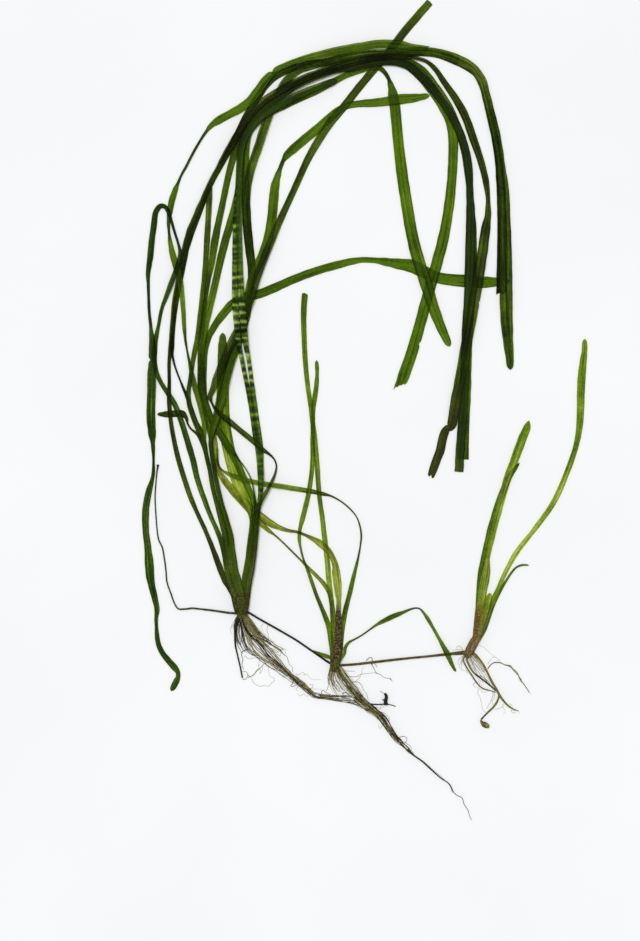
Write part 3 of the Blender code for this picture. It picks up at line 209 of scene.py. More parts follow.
# The mother rosette's leaves: long ribbons of thin dried blade, pressed on one another in a pile.
# Each is one strip along its own route, set at the height at which its solid lies in the pile.
LEAF_THICK = 0.00016
FLOOR_LIGHT = 0.9
THROUGH = 0.5
NO_RUN = ((0, 0),)
TIP_LENGTH = 0.9
TIP_SHARE = 0.8
POINTED_TIPS = (
    "middle_leaf_lower_left", "middle_leaf_right_arch", "middle_leaf_short",
    "young_leaf_front", "young_leaf_upright", "young_leaf_thin",
)


def tangent(before, here, after):
    """Direction of a smooth curve at a point, from its two neighbours and their distances."""
    back = np.linalg.norm(here - before)
    ahead = np.linalg.norm(after - here)
    if back == 0.0:
        return (after - here) / ahead
    if ahead == 0.0:
        return (here - before) / back
    return ((here - before) / back * ahead + (after - here) / ahead * back) / (back + ahead)


def smooth_line(route, step=1.0):
    """Points about every step millimetres along a smooth curve through the route, as x, y, width."""
    route = np.array(route, float)
    padded = np.vstack([route[:1], route, route[-1:]])
    line = []
    for before, here, after, beyond in zip(padded, padded[1:], padded[2:], padded[3:]):
        length = np.linalg.norm(after[:2] - here[:2])
        leave = tangent(before[:2], here[:2], after[:2]) * length
        reach = tangent(here[:2], after[:2], beyond[:2]) * length
        for t in np.linspace(0, 1, max(2, round(length / step)), endpoint=False):
            place = ((2 * t**3 - 3 * t**2 + 1) * here[:2] + (t**3 - 2 * t**2 + t) * leave
                     + (3 * t**2 - 2 * t**3) * after[:2] + (t**3 - t**2) * reach)
            ease = t * t * (3 - 2 * t)
            line.append((*place, here[2] + (after[2] - here[2]) * ease))
    line.append(tuple(route[-1]))
    return np.array(line)


def solid_tree(node):
    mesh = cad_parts[node].data
    faces = [tuple(face.vertices) for face in mesh.polygons]
    return BVHTree.FromPolygons([point.co.copy() for point in mesh.vertices], faces)


def solid_heights(tree, points, under=None, lift=0.0):
    """Height of the solid's top at each point of a line, in metres, held on to where it overlaps
    itself. A line that starts before its solid lies on the crown there, or keeps its first height."""
    heights = []
    latest = None
    for x, y in points:
        tops = []
        down = Vector((0, 0, -1))
        spot, normal, _, _ = tree.ray_cast(Vector((x * MM, y * MM, 0.05)), down)
        while spot is not None:
            if normal.z > 0.05:
                tops.append(spot.z)
            spot, normal, _, _ = tree.ray_cast(Vector((spot.x, spot.y, spot.z - 0.00002)), down)
        if tops:
            latest = max(tops) if latest is None else min(tops, key=lambda top: abs(top - latest))
            under = None
        elif under is not None:
            spot, _, _, _ = under.ray_cast(Vector((x * MM, y * MM, 0.05)), down)
            latest = spot.z + lift if spot is not None else latest
        heights.append(latest)
    first = next(height for height in heights if height is not None)
    return np.array([first if height is None else height for height in heights])


def running_mean(values, reach):
    padded = np.pad(values, reach, mode="edge")
    return np.convolve(padded, np.ones(2 * reach + 1) / (2 * reach + 1), mode="valid")


def leaf_strip(node, crown, lift, route, slot, finish, tones, torn, bites, foot, others):
    """One leaf blade. tones are evenly spaced from its foot to its tip, torn is how far each part
    of the cut or torn end stands out, from the left edge to the right, and bites are nicks as x, y, radius.
    foot is how old and brown it is at its foot, as (mm, share). others are more runs by the share
    of its length: where else it is old, cross-banded, or raised some mm over its neighbours."""
    across = 8
    if not torn and node not in POINTED_TIPS:
        x, y, wide = route[-1]
        route = (*route[:-1], (x, y, max(wide, TIP_SHARE * route[-2][2])))
    line = smooth_line(route)
    rows = len(line)
    step = np.diff(line[:, :2], axis=0)
    along = np.concatenate([[0], np.cumsum(np.linalg.norm(step, axis=1))])
    way = np.zeros((rows, 2))
    way[1:-1] = line[2:, :2] - line[:-2, :2]
    way[0], way[-1] = step[0], step[-1]
    way /= np.linalg.norm(way, axis=1)[:, None]
    shades = tuple(zip(np.linspace(0, 1, len(tones)), tones))
    runs = {"tone": shades, "aged": NO_RUN, "barred": NO_RUN, "raised": NO_RUN} | others
    for name, stops in runs.items():
        spots, values = zip(*stops)
        runs[name] = np.interp(along / along[-1], spots, values)
    height = running_mean(solid_heights(solid_tree(node), line[:, :2], solid_tree(crown), lift), 3)
    height += running_mean(runs.pop("raised"), 6) * MM
    spots, values = zip(*foot)
    runs["aged"] = np.maximum(runs["aged"], np.interp(along, spots, values))

    deselect_everything()
    bpy.ops.mesh.primitive_grid_add(x_subdivisions=rows - 1, y_subdivisions=across, size=1.0)
    leaf = bpy.context.object
    leaf.name = node + "_blade"
    mesh = leaf.data
    flat = np.zeros(len(mesh.vertices) * 3)
    mesh.vertices.foreach_get("co", flat)
    flat = flat.reshape(-1, 3)
    row = np.rint((flat[:, 0] + 0.5) * (rows - 1)).astype(int)
    share = flat[:, 1] + 0.5

    seed = float(sum(ord(letter) for letter in node))
    wave = {}
    for index in range(rows):
        far = along[index]
        wave[index] = (
            noise.noise(Vector((far * 0.22, seed, 0.0))),
            noise.noise(Vector((far * 0.22, seed, 7.0))),
            noise.noise(Vector((far * 0.05, seed, 3.0))),
            noise.noise(Vector((far * 0.07, seed, 5.0))),
        )
    wide = line[:, 2]
    # how folded the blade is where it narrows: it raises a crease here, and in the finish it paints shade
    folded = np.clip((0.62 - wide / np.percentile(wide, 75)) / 0.25, 0, 1)
    if not torn:
        folded *= np.clip((along[-1] - along) / 8.0, 0, 1)
        room = np.clip((along[-1] - along) / (TIP_LENGTH * wide[-1]), 0, 1)
        wide = wide * np.sqrt(room * (2 - room)).clip(0.06)
    end = np.zeros(len(flat))
    if torn:
        ragged = np.interp(1 - share, np.linspace(0, 1, len(torn)), torn)
        end = ragged * np.clip((along[row] - along[-1] + 6.0) / 6.0, 0, 1)
    ripple = np.array([wave[index] for index in range(rows)])[row]
    edge = np.abs(2 * share - 1)
    left_side = share > 0.5
    trim = np.where(left_side, ripple[:, 0], ripple[:, 1]) * 0.16 * edge
    half = (share - 0.5) * wide[row] + np.where(left_side, 1, -1) * trim * np.minimum(wide[row] / 4, 1)
    square = np.stack([-way[:, 1], way[:, 0]], axis=1)
    place = line[row, :2] + square[row] * half[:, None] + way[row] * end[:, None]
    for x, y, radius in bites:
        gap = place - np.array([x, y])
        far = np.linalg.norm(gap, axis=1)
        near = far < radius
        push = square[row[near]] * np.where(left_side[near], -1, 1)[:, None]
        place[near] += push * (radius - far[near])[:, None]

    midrib = np.exp(-((share - 0.5) / 0.07) ** 2) * 0.07
    curl = edge ** 3 * (0.10 + 0.16 * ripple[:, 2])
    crease = folded[row] * (1 - edge) * 0.28
    sway = ripple[:, 3] * 0.10
    tall = height[row] / MM + midrib * np.minimum(wide[row] / 4, 1) + curl + crease + sway
    tall = np.maximum(tall, LEAF_THICK / MM + 0.03)
    co = np.concatenate([place, tall[:, None]], axis=1) * MM
    mesh.vertices.foreach_set("co", co.ravel())

    layer = mesh.uv_layers.active
    corner = np.zeros(len(mesh.loops), int)
    mesh.loops.foreach_get("vertex_index", corner)
    uv = np.stack([along[row[corner]] * MM * 10, share[corner]], axis=1)
    layer.uv.foreach_set("vector", uv.ravel())
    runs["folded"] = folded
    for name, values in runs.items():
        mesh.attributes.new(name, "FLOAT", "POINT").data.foreach_set("value", values[row])
    mesh.update()

    thickness = leaf.modifiers.new("blade_thickness", "SOLIDIFY")
    thickness.thickness = LEAF_THICK
    thickness.offset = -1.0
    bpy.ops.object.modifier_apply(modifier=thickness.name)
    bpy.ops.object.shade_smooth()
    mesh.materials.append(finish)
    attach(leaf, "root")
    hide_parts(node)
    return leaf


def leaf_finish(name, looks, old, uneven=1.2, body=0.28):
    """A dried blade. looks are (tone, colour of one layer lying on white). Part of the colour comes
    off the surface and the rest through the blade, so crossings are darker. Folds are darker by painted
    shade, a darker colour standing in for the double layer of a fold. Its foot, and torn ends, have
    turned to opaque old tissue in the two colours of old."""
    finish = bpy.data.materials.new(name)
    finish.use_nodes = True
    tree = finish.node_tree
    uv = add_node(tree, "ShaderNodeUVMap", uv_map="UVMap").outputs["UV"]
    where = add_node(tree, "ShaderNodeTexCoord").outputs["Object"]
    tone, folded, barred, aged = (
        add_node(tree, "ShaderNodeAttribute", attribute_name=run).outputs["Fac"]
        for run in ("tone", "folded", "barred", "aged")
    )

    def sum_of(one, other):
        return add_node(tree, "ShaderNodeMath", {0: one, 1: other}, operation="ADD").outputs[0]

    def times(one, other):
        return add_node(tree, "ShaderNodeMath", {0: one, 1: other}, operation="MULTIPLY").outputs[0]

    def noise_of(vector, scale, detail, strength):
        made = add_node(tree, "ShaderNodeTexNoise", {"Vector": vector, "Scale": scale, "Detail": detail})
        return times(sum_of(made.outputs["Fac"], -0.5), strength)

    lengthwise = add_node(tree, "ShaderNodeMapping", {"Vector": uv, "Scale": (5.0, 12.0, 1.0)}).outputs[0]
    ribbed = add_node(tree, "ShaderNodeMapping", {"Vector": uv, "Scale": (2.2, 4.6, 1.0)}).outputs[0]
    crosswise = add_node(tree, "ShaderNodeMapping", {"Vector": uv, "Scale": (46.0, 0.35, 1.0)}).outputs[0]
    veins = noise_of(lengthwise, 1.0, 3.0, 0.9 * uneven)
    ribs = noise_of(ribbed, 1.0, 2.0, 1.0 * uneven)
    patches = sum_of(noise_of(where, 60.0, 3.0, 0.7 * uneven), noise_of(where, 700.0, 2.0, 0.35 * uneven))
    mottle = sum_of(veins, sum_of(ribs, patches))
    bars = times(noise_of(crosswise, 1.0, 0.0, 3.4), barred)
    across = add_node(tree, "ShaderNodeSeparateXYZ", {"Vector": uv}).outputs["Y"]
    off_centre = add_node(
        tree, "ShaderNodeMath", {0: sum_of(times(across, 2.0), -1.0)}, operation="ABSOLUTE"
    ).outputs[0]
    margin = add_node(tree, "ShaderNodeMath", {0: off_centre, 1: 7.0}, operation="POWER").outputs[0]
    # painted shade: the folded run darkens both the surface colour and the colour seen through the blade,
    # standing in for the double layer of a fold; the margins are made darker as well
    dark = sum_of(times(margin, -0.24), times(folded, -0.42))
    shade = sum_of(sum_of(tone, dark), sum_of(mottle, bars))
    surface = colour_ramp(tree, shade, looks)
    through = []
    for position, look in looks:
        clear = [min(1.0, (THROUGH * part / FLOOR_LIGHT) ** 0.25 / (1 - body)) for part in look]
        through.append((position, clear))
    glow = colour_ramp(tree, shade, through)
    specks = add_node(tree, "ShaderNodeTexNoise", {"Vector": where, "Scale": 1400.0, "Detail": 2.0})
    crust = colour_ramp(tree, specks.outputs["Fac"], ((0.48, old[0]), (0.66, old[1])))
    patchy = sum_of(times(aged, 1.25), times(noise_of(where, 260.0, 2.0, 1.6), aged))
    cover = add_node(tree, "ShaderNodeClamp", {"Value": patchy}).outputs[0]
    skin = add_node(tree, "ShaderNodeMix", {0: cover, 6: surface, 7: crust}, data_type="RGBA").outputs[2]
    shader = tree.nodes["Principled BSDF"]
    tree.links.new(skin, shader.inputs["Base Color"])
    shader.inputs["Roughness"].default_value = 0.55
    shader.inputs["Specular IOR Level"].default_value = 0.08
    grain = add_node(
        tree, "ShaderNodeBump", {"Height": veins, "Strength": 0.5, "Distance": 0.0002}
    )
    tree.links.new(grain.outputs["Normal"], shader.inputs["Normal"])
    clear = add_node(tree, "ShaderNodeBsdfTransparent", {"Color": glow})
    solid = sum_of(times(cover, 0.92 - body), body)
    blade = add_node(tree, "ShaderNodeMixShader", {0: solid, 1: clear.outputs[0], 2: shader.outputs[0]})
    tree.links.new(blade.outputs[0], tree.nodes["Material Output"].inputs["Surface"])
    return finish


# how light a blade is, from nearly black green through the leaf's own green to yellow
DARKEST, DARK, DEEP, MIDDLE, LIGHT, PALE = 0.0, 0.25, 0.35, 0.5, 0.75, 1.0
old_foot = (tint(44, 48, 10), tint(92, 98, 38))
deep_leaf = leaf_finish("deep_green_blade", (
    (0.0, tint(20, 26, 6)), (0.25, tint(34, 44, 8)), (0.5, tint(53, 74, 10)),
    (0.75, tint(80, 106, 14)), (1.0, tint(138, 150, 60))), (tint(40, 38, 12), tint(74, 72, 30)))
blue_leaf = leaf_finish("blue_green_blade", (
    (0.0, tint(16, 28, 8)), (0.25, tint(30, 48, 6)), (0.5, tint(43, 69, 8)),
    (0.75, tint(72, 98, 18)), (1.0, tint(134, 146, 66))), old_foot)
brown_green_leaf = leaf_finish("brown_green_blade", (
    (0.0, tint(26, 30, 6)), (0.25, tint(44, 54, 10)), (0.5, tint(61, 78, 12)),
    (0.75, tint(86, 110, 24)), (1.0, tint(140, 152, 66))), (tint(52, 44, 8), tint(78, 70, 24)))
green_leaf = leaf_finish("green_blade", (
    (0.0, tint(28, 40, 6)), (0.25, tint(50, 68, 6)), (0.5, tint(76, 104, 8)),
    (0.75, tint(98, 126, 20)), (1.0, tint(152, 164, 66))), old_foot, uneven=0.9)
banded_leaf = leaf_finish("banded_blade", (
    (0.0, tint(16, 22, 8)), (0.25, tint(36, 50, 10)), (0.5, tint(56, 80, 12)),
    (0.75, tint(92, 122, 30)), (1.0, tint(160, 180, 92))), old_foot, uneven=0.5, body=0.45)
fresh_leaf = leaf_finish("fresh_green_blade", (
    (0.0, tint(46, 54, 8)), (0.25, tint(66, 86, 10)), (0.5, tint(90, 117, 14)),
    (0.75, tint(128, 149, 36)), (1.0, tint(186, 194, 92))), old_foot)

MOTHER_LEAVES = {
    # slot, finish, tones along it, torn end, nicks, route from the crown outwards as x, y, width in mm
    "mother_leaf_short_broad": (
        "fresh_green_leaf", fresh_leaf, (LIGHT, LIGHT, LIGHT, MIDDLE, DEEP),
        (), (), (
        (0.7, 9, 1.3), (0.8, 12.3, 1.4), (0.9, 16.5, 1.9), (1.7, 21.6, 2.1), (2.6, 26.7, 2.1),
        (3.2, 31.9, 2.1), (3.8, 37, 2.1), (4.4, 42.2, 2.1), (4.4, 47.3, 2.6), (3.3, 53.5, 3.6),
        (0.8, 59.6, 5.1), (-2.2, 66.1, 6.3), (-4.8, 73.5, 6.2), (-6.9, 81.7, 6.2), (-8.7, 90.5, 6.3),
        (-9.9, 98.7, 6.5), (-10.4, 109, 6.5), (-10.4, 119.3, 6.2), (-10.5, 128.5, 5.2),
        (-10.5, 136.8, 4.7), (-10.5, 140.3, 3.6), (-10.4, 143.6, 0.8),
    )),
    "mother_leaf_level": ("green_leaf", green_leaf, (LIGHT, MIDDLE, DEEP, MIDDLE, MIDDLE), (), (), (
        (0.7, 9, 1.3), (0.8, 12.3, 1.4), (0.9, 16.5, 1.9), (1.7, 21.6, 2.1), (2.6, 26.7, 2.1),
        (3.2, 31.9, 2.1), (3.8, 37, 2.1), (4.4, 42.2, 2.1), (4.9, 47.3, 2.1), (5.7, 53.5, 2.3),
        (4.9, 58.1, 2.6), (3.1, 63, 3.1), (0.8, 67.9, 3.3), (-1.3, 72.7, 3.6), (-3.6, 77.9, 3.8),
        (-6.9, 83.8, 3.9), (-10.8, 90, 3.6), (-14.4, 95.6, 3.3), (-17.6, 102.8, 3.1),
        (-19.4, 109.5, 2.6), (-20, 116.7, 2.6), (-19.9, 125.4, 2.6), (-19.3, 134.7, 2.8),
        (-17.6, 141.4, 3.1), (-14.5, 147.2, 3.6), (-10.4, 152.9, 4.1), (-5.4, 158.3, 4.6),
        (0.5, 161.7, 4.6), (7.7, 163.3, 4.6), (14.9, 166.1, 4.5), (24.2, 170.2, 4.2), (31.9, 173.3, 4.1),
        (39.6, 175.9, 4.1), (47.3, 178.1, 4.1), (55, 180, 3.6), (61.2, 181, 2.9), (67.3, 180.8, 2.9),
        (74.5, 179.8, 4.3), (80.7, 178.8, 5.7), (86.4, 177.9, 6.7), (93.1, 174.8, 6.4), (99.7, 172, 5.7),
        (106.4, 170.8, 5.9), (114.1, 170.2, 6.5), (124.4, 169.5, 5.9), (130.6, 169.7, 4.6),
        (134.2, 170, 3.1), (137.3, 170.4, 0.6),
    )),
    "mother_leaf_small_left": ("green_leaf", brown_green_leaf, (LIGHT, MIDDLE, DEEP, DEEP), (), (), (
        (-2.6, 9, 1.3), (-3.6, 12.3, 1.4), (-4.8, 16.5, 1.6), (-6.2, 21.6, 1.7), (-6.9, 26.7, 1.8),
        (-7.8, 31.9, 1.9), (-9, 38.6, 2.1), (-11.2, 47.3, 2.2), (-13.7, 56.6, 2.2), (-15.8, 65.3, 2.2),
        (-17.1, 73, 2.1), (-18.9, 80.7, 2.1), (-21.3, 87.9, 2.3), (-23.9, 91.8, 1.5), (-26.7, 94.1, 1),
        (-28.5, 96.9, 1), (-29.1, 99.7, 1.8), (-31.1, 101.8, 3.6), (-35, 101.9, 3.5),
        (-39.8, 101.6, 3.2), (-42.4, 101.6, 2.1), (-44.1, 101.7, 0.5),
    )),
    "mother_leaf_arch_thin": (
        "deep_green_leaf", deep_leaf, (LIGHT, DEEP, DEEP, DEEP, DARKEST),
        (-1.5, 0.4, -0.4, 0.6), (), (
        (-2.6, 9, 1.3), (-3.6, 12.3, 1.4), (-4.8, 16.5, 1.6), (-6.2, 21.6, 1.7), (-6.9, 26.7, 1.8),
        (-7.8, 31.9, 1.9), (-9, 38.6, 2.1), (-11.2, 47.3, 2.2), (-13.7, 56.6, 2.2), (-15.8, 65.3, 2.2),
        (-17.1, 73, 2.1), (-18.9, 80.7, 2.1), (-21.6, 92.5, 2.6), (-24.2, 97.7, 2.3),
        (-26.7, 104.9, 2.1), (-28.5, 110, 2.1), (-30.3, 114.1, 1.4), (-32.4, 119.3, 1),
        (-34.7, 125.4, 1), (-36.2, 131.6, 1.3), (-36.3, 137.3, 2.1), (-35.5, 150.1, 2.2),
        (-34.2, 160.4, 2.6), (-32.6, 169.1, 2.6), (-30.6, 178.4, 2.6), (-29.3, 186.1, 3.1),
        (-27.9, 191.2, 3.3), (-26.2, 196.4, 3.5), (-24.2, 201.5, 3.3), (-22.1, 206.7, 3.1),
        (-20, 211.8, 2.6), (-17.8, 217, 2.5), (-15.4, 222.1, 2.5), (-12.6, 227.2, 2.6),
        (-9.8, 232.4, 2.8), (-6.2, 239.1, 3.1), (-2.1, 247.3, 3.3), (1.5, 254.5, 3.6), (4.6, 259.9, 3.6),
        (8.2, 265.5, 3.6), (12.1, 271.2, 3.6), (16.7, 275.3, 3.6), (23.4, 278.7, 3.3),
        (31.4, 281.2, 3.5), (42.2, 282.8, 3.6), (52.4, 285.1, 3.6), (62.7, 286.6, 3.3), (73, 286.9, 3.1),
        (83.3, 286.9, 3.3), (91, 287.4, 3.6), (99.7, 286.9, 4.1), (107.4, 284.3, 4.4),
        (114.1, 281.2, 4.4), (119.8, 277.1, 4.1), (123.1, 271.4, 4.1), (125.4, 263.2, 4.1),
        (127.8, 254, 4.4), (130.1, 242.7, 4.4), (131.6, 232.4, 4.4), (132.4, 222.1, 4.6),
        (133, 211.8, 4.9), (133.3, 199, 5.1), (133.3, 186.1, 5.4), (133, 173.3, 5.4),
        (132.9, 163.7, 5.4),
    )),
    "mother_leaf_short_torn": (
        "green_leaf", brown_green_leaf, (LIGHT, LIGHT, MIDDLE, MIDDLE, MIDDLE),
        (-0.5, 1, 0.2, -1.2), (), (
        (-2.6, 9, 1.3), (-3.6, 12.3, 1.4), (-4.8, 16.5, 1.6), (-6.2, 21.6, 1.7), (-6.9, 26.7, 1.8),
        (-7.8, 31.9, 1.9), (-9, 38.6, 2.1), (-11.2, 47.3, 2.2), (-13.7, 56.6, 2.2), (-15.8, 65.3, 2.2),
        (-17.1, 73, 2.1), (-18.9, 80.7, 2.1), (-20.3, 88.4, 2.2), (-22.9, 93.6, 2.6), (-25.4, 99.7, 2.6),
        (-27.5, 106.4, 2.6), (-28.1, 111.6, 2.3), (-27.1, 119.3, 2.3), (-26.1, 126.5, 2.3),
        (-24.9, 133.7, 2.6), (-23.5, 139.8, 2.8), (-22.1, 150.1, 2.9), (-21.1, 160.4, 2.6),
        (-20, 170.7, 2.6), (-19.1, 181, 2.8), (-18.5, 191.2, 3.1), (-17.9, 201.5, 2.9),
        (-17.4, 211.8, 3.1), (-17.1, 219.3, 2.8),
    )),
    "mother_leaf_arch_left": (
        "green_leaf", green_leaf, (LIGHT, MIDDLE, DEEP, MIDDLE, MIDDLE),
        (-3.4, -2, -2.8, -0.8, -1.6, 0.6, 0, 2.4), ((91.1, 137.8, 1.1),), (
        (-0.9, 9, 1.3), (-1.9, 12.3, 1.4), (-2.8, 16.5, 1.6), (-4, 21.6, 1.7), (-4.7, 26.7, 1.8),
        (-5.6, 31.9, 1.9), (-6.4, 38.6, 2.1), (-8.6, 47.3, 2.2), (-11.2, 56.6, 2.2), (-13.2, 65.3, 2.2),
        (-14.7, 73, 2), (-16, 80.7, 2.1), (-16.5, 88.4, 2.2), (-17.5, 94.6, 2.6), (-19, 101.3, 2.8),
        (-20.7, 109, 2.8), (-22.1, 116.7, 2.4), (-22.3, 125.4, 2.2), (-22.1, 134.7, 2.4),
        (-21.3, 142.4, 2.6), (-20.5, 150.1, 2.3), (-19.4, 160.4, 2.1), (-17.8, 170.7, 2.4),
        (-15.9, 181, 3.4), (-14.4, 191.2, 3.9), (-12.3, 201.5, 3.3), (-10.1, 211.8, 3.2),
        (-8, 222.1, 3.3), (-5.4, 232.4, 3.4), (-2.8, 240.1, 3.6), (0.3, 247.3, 3.6), (4.4, 254, 3.9),
        (9.8, 259.6, 3.9), (16.5, 264.8, 3.6), (24.2, 269.8, 3.5), (34.4, 274.6, 3.4),
        (44.7, 278.4, 3.4), (55, 280.2, 3.9), (65.3, 282.2, 3.9), (75.6, 283, 4.1), (82.8, 282, 4.4),
        (88.4, 278.1, 4.6), (94.6, 271.4, 4.6), (99.5, 264.8, 4.6), (103.6, 258.6, 5.1),
        (106.7, 252.4, 5.4), (108, 245.2, 5.3), (108, 234.9, 4.9), (107.4, 223.1, 4.8),
        (106.3, 211.8, 5.1), (104.8, 201.5, 5.2), (102.8, 191.2, 5.6), (100.1, 181, 5.7),
        (96.7, 169.1, 5.7), (93.7, 157.8, 5.7), (90.2, 145, 5.7), (86.4, 132.1, 5.9), (83, 122.4, 6),
        (81.4, 117.7, 5.6), (80.5, 115.4, 5.1),
    )),
    "mother_leaf_arch_inner": (
        "deep_green_leaf", green_leaf, (LIGHT, MIDDLE, DEEP, MIDDLE, MIDDLE),
        (), (), (
        (-0.9, 9, 1.3), (-1.9, 12.3, 1.4), (-2.8, 16.5, 1.6), (-4, 21.6, 1.7), (-4.7, 26.7, 1.8),
        (-5.6, 31.9, 1.9), (-6.4, 38.6, 2.1), (-8.6, 47.3, 2.2), (-11.2, 56.6, 2.2), (-13.2, 65.3, 2.2),
        (-14.7, 73, 2), (-16, 80.7, 2.1), (-16.5, 88.4, 2.2), (-15.3, 95.1, 2.8), (-13.2, 102.8, 3.6),
        (-11.7, 110, 4), (-10.3, 117.2, 4.1), (-8.5, 124.4, 4.1), (-6.2, 131.6, 4.1), (-3.3, 138.3, 3.9),
        (-0.8, 145, 3.9), (1.5, 152.7, 3.6), (2.8, 160.4, 3.6), (4.1, 168.1, 3.6), (4.5, 175.8, 4.1),
        (3.4, 186.1, 4.6), (2.1, 199, 4.6), (1.5, 211.8, 4.4), (1.4, 226.2, 3.9), (1.7, 238.5, 3.3),
        (3.1, 246.3, 3.6), (7.2, 252.2, 4.1), (13.9, 257.1, 4.4), (21.6, 260.9, 4.4), (29.3, 264.5, 4.4),
        (37, 267.8, 4.1), (44.7, 271.7, 3.6), (52.4, 275.6, 3.1), (60.1, 278.4, 3.1), (66.3, 280.2, 3.1),
        (70.4, 279.4, 2.6), (73.3, 276.8, 2.2), (74.9, 274, 1.9), (76.1, 270.4, 3.3), (77.1, 265.8, 5.1),
        (78.1, 259.6, 5.6), (79, 250.4, 5.4), (80, 240.1, 5.4), (81.2, 229.8, 5.7), (82.6, 219.5, 5.8),
        (84.5, 207.7, 5.9), (86.4, 196.4, 6), (88.9, 185.1, 6.2), (91.7, 175.8, 6.2), (94.7, 166.6, 6.2),
        (97.9, 156.3, 5.7), (101.3, 147.5, 5), (104.4, 140.6, 4.1), (106.3, 136.5, 0.8),
    )),
    "mother_leaf_arch_bright": (
        "green_leaf", green_leaf, (LIGHT, MIDDLE, DEEP, DEEP, DEEP),
        (0, 0.1, 0), (), (
        (2.4, 9, 1.3), (2.7, 12.3, 1.4), (3.2, 16.5, 1.9), (4.3, 21.6, 2.1), (5, 26.7, 2.1),
        (5.7, 31.9, 2.1), (6.2, 37, 2.1), (6.8, 42.2, 2.1), (7.2, 47.3, 2.1), (6.3, 56, 1.5),
        (5.5, 62.7, 0.8), (4.1, 68.4, 0.7), (1.5, 73.5, 0.6), (-1.8, 77.9, 0.8), (-6.2, 83.8, 2.6),
        (-10.8, 90.2, 3.1), (-14.9, 96.7, 3.3), (-18, 102.8, 3.1), (-20.2, 109.5, 2.8),
        (-21.2, 116.7, 2.6), (-21.3, 125.4, 2.3), (-20.8, 134.7, 2.6), (-20, 142.4, 3.1),
        (-18.8, 150.1, 3.6), (-17.6, 155.3, 3.8), (-16.3, 160.4, 3.6), (-13.9, 170.7, 3.6),
        (-11.6, 181, 3.9), (-9, 191.2, 4.1), (-6.2, 201, 3.9), (-4, 209.2, 3.6), (-2.3, 218, 3.3),
        (-1.3, 228.3, 3.3), (-0.5, 238.5, 3.6), (1.8, 247.3, 3.6), (6.2, 254.5, 3.9), (12.3, 260.4, 3.9),
        (20, 266, 3.6), (27.8, 271.4, 3.4), (37, 275.8, 3.2), (47.3, 279.4, 3.2), (57.6, 281.5, 3.6),
        (67.9, 283.5, 3.6), (78.1, 284, 3.6), (85.9, 282.2, 3.9), (93.1, 277.4, 4.1), (98.5, 270.4, 4.1),
        (102.8, 264.2, 4.4), (106.2, 258.3, 4.4), (109.5, 251.1, 4.1), (112.3, 243.9, 4.4),
        (114.3, 236.5, 4.4), (115.5, 229.3, 4.4), (116.2, 223.1, 4.1), (116.7, 215.9, 3.2),
        (117.2, 206.7, 4.1), (117.4, 196.4, 5.4), (117.2, 186.1, 5.9), (117.1, 175.8, 5.9),
        (116.7, 163, 5.8), (115.7, 150.1, 5.8), (115, 137.3, 5.7), (114.6, 124.4, 5.7),
        (114.4, 113.1, 5.7), (113.8, 102.8, 5.7), (113.3, 91, 5.8), (113.1, 78.4, 5.9),
    )),
    "mother_leaf_arch_outer": (
        "deep_green_leaf", deep_leaf, (LIGHT, MIDDLE, MIDDLE, MIDDLE, LIGHT, MIDDLE, MIDDLE),
        (), (), (
        (-0.9, 9, 1.3), (-1.9, 12.3, 1.4), (-2.8, 16.5, 1.6), (-4, 21.6, 1.7), (-4.7, 26.7, 1.8),
        (-5.6, 31.9, 1.9), (-6.4, 38.6, 2.1), (-8.6, 47.3, 2.2), (-11.2, 56.6, 2.2), (-13.2, 65.3, 2.2),
        (-14.7, 73, 2), (-16, 80.7, 2.1), (-16.5, 88.4, 2.2), (-14.9, 94.6, 2.8), (-12.9, 101.8, 3.3),
        (-11.1, 109, 3.6), (-9.5, 116.2, 3.9), (-7.5, 123.4, 3.9), (-5.4, 130.6, 3.6),
        (-2.6, 137.3, 3.6), (0, 145, 3.6), (2.1, 152.7, 3.6), (3.3, 160.4, 3.6), (4.4, 170.7, 3.6),
        (4.1, 179.9, 3.9), (2.8, 191.2, 4.1), (1.8, 204.1, 4.1), (1.8, 214.4, 4.1), (3.1, 223.6, 4.1),
        (5.4, 231.9, 4.3), (8.2, 240.1, 4.4), (10.8, 248.3, 4.4), (13.6, 256.5, 4.4), (17, 263.7, 4.1),
        (19.8, 269.1, 4.1), (23.1, 274, 3.9), (27.8, 277.9, 3.6), (35.5, 280.7, 3.6), (44.7, 283, 3.9),
        (55, 285.3, 3.9), (65.3, 286.9, 3.6), (75.6, 287.6, 3.3), (85.9, 288.2, 3.6), (95.1, 288.2, 4.1),
        (103.3, 286.6, 4.6), (111, 283.8, 4.9), (117.7, 279.9, 4.6), (122.1, 274.5, 4.6),
        (124.9, 265.8, 4.4), (127, 257.1, 4.6), (129.3, 247.8, 4.9), (131.4, 237.5, 4.4),
        (132.6, 228.3, 4.6), (133.9, 217, 5.7), (134.4, 204.1, 5.9), (134.7, 191.2, 6.4),
        (135, 178.4, 6.6), (135.2, 160.4, 6.7), (135.7, 147.5, 6.2), (136.5, 137.3, 5.1),
        (137.2, 129.6, 4.1), (137.5, 124.5, 0.5),
    )),
    "mother_leaf_hooked": ("green_leaf", green_leaf, (LIGHT, LIGHT, MIDDLE, MIDDLE, MIDDLE), (), (), (
        (-0.9, 9, 1.3), (-1.9, 12.3, 1.4), (-2.8, 16.5, 1.6), (-4, 21.6, 1.7), (-4.7, 26.7, 1.8),
        (-5.6, 31.9, 1.9), (-6.4, 38.6, 2.1), (-8.6, 47.3, 2.2), (-11.2, 56.6, 2.2), (-13.2, 65.3, 2.2),
        (-14.7, 73, 2), (-16, 80.7, 2.1), (-16.5, 88.4, 2.2), (-15.9, 91.5, 2.6), (-13.9, 98.2, 3.1),
        (-11.8, 104.9, 3.3), (-9.8, 111.6, 3.3), (-8.2, 119.3, 3.3), (-6.3, 126.5, 3.3),
        (-4.1, 133.2, 3.6), (-1.8, 139.8, 3.6), (0, 147.5, 3.6), (1.4, 155.3, 3.6), (2.6, 163, 3.9),
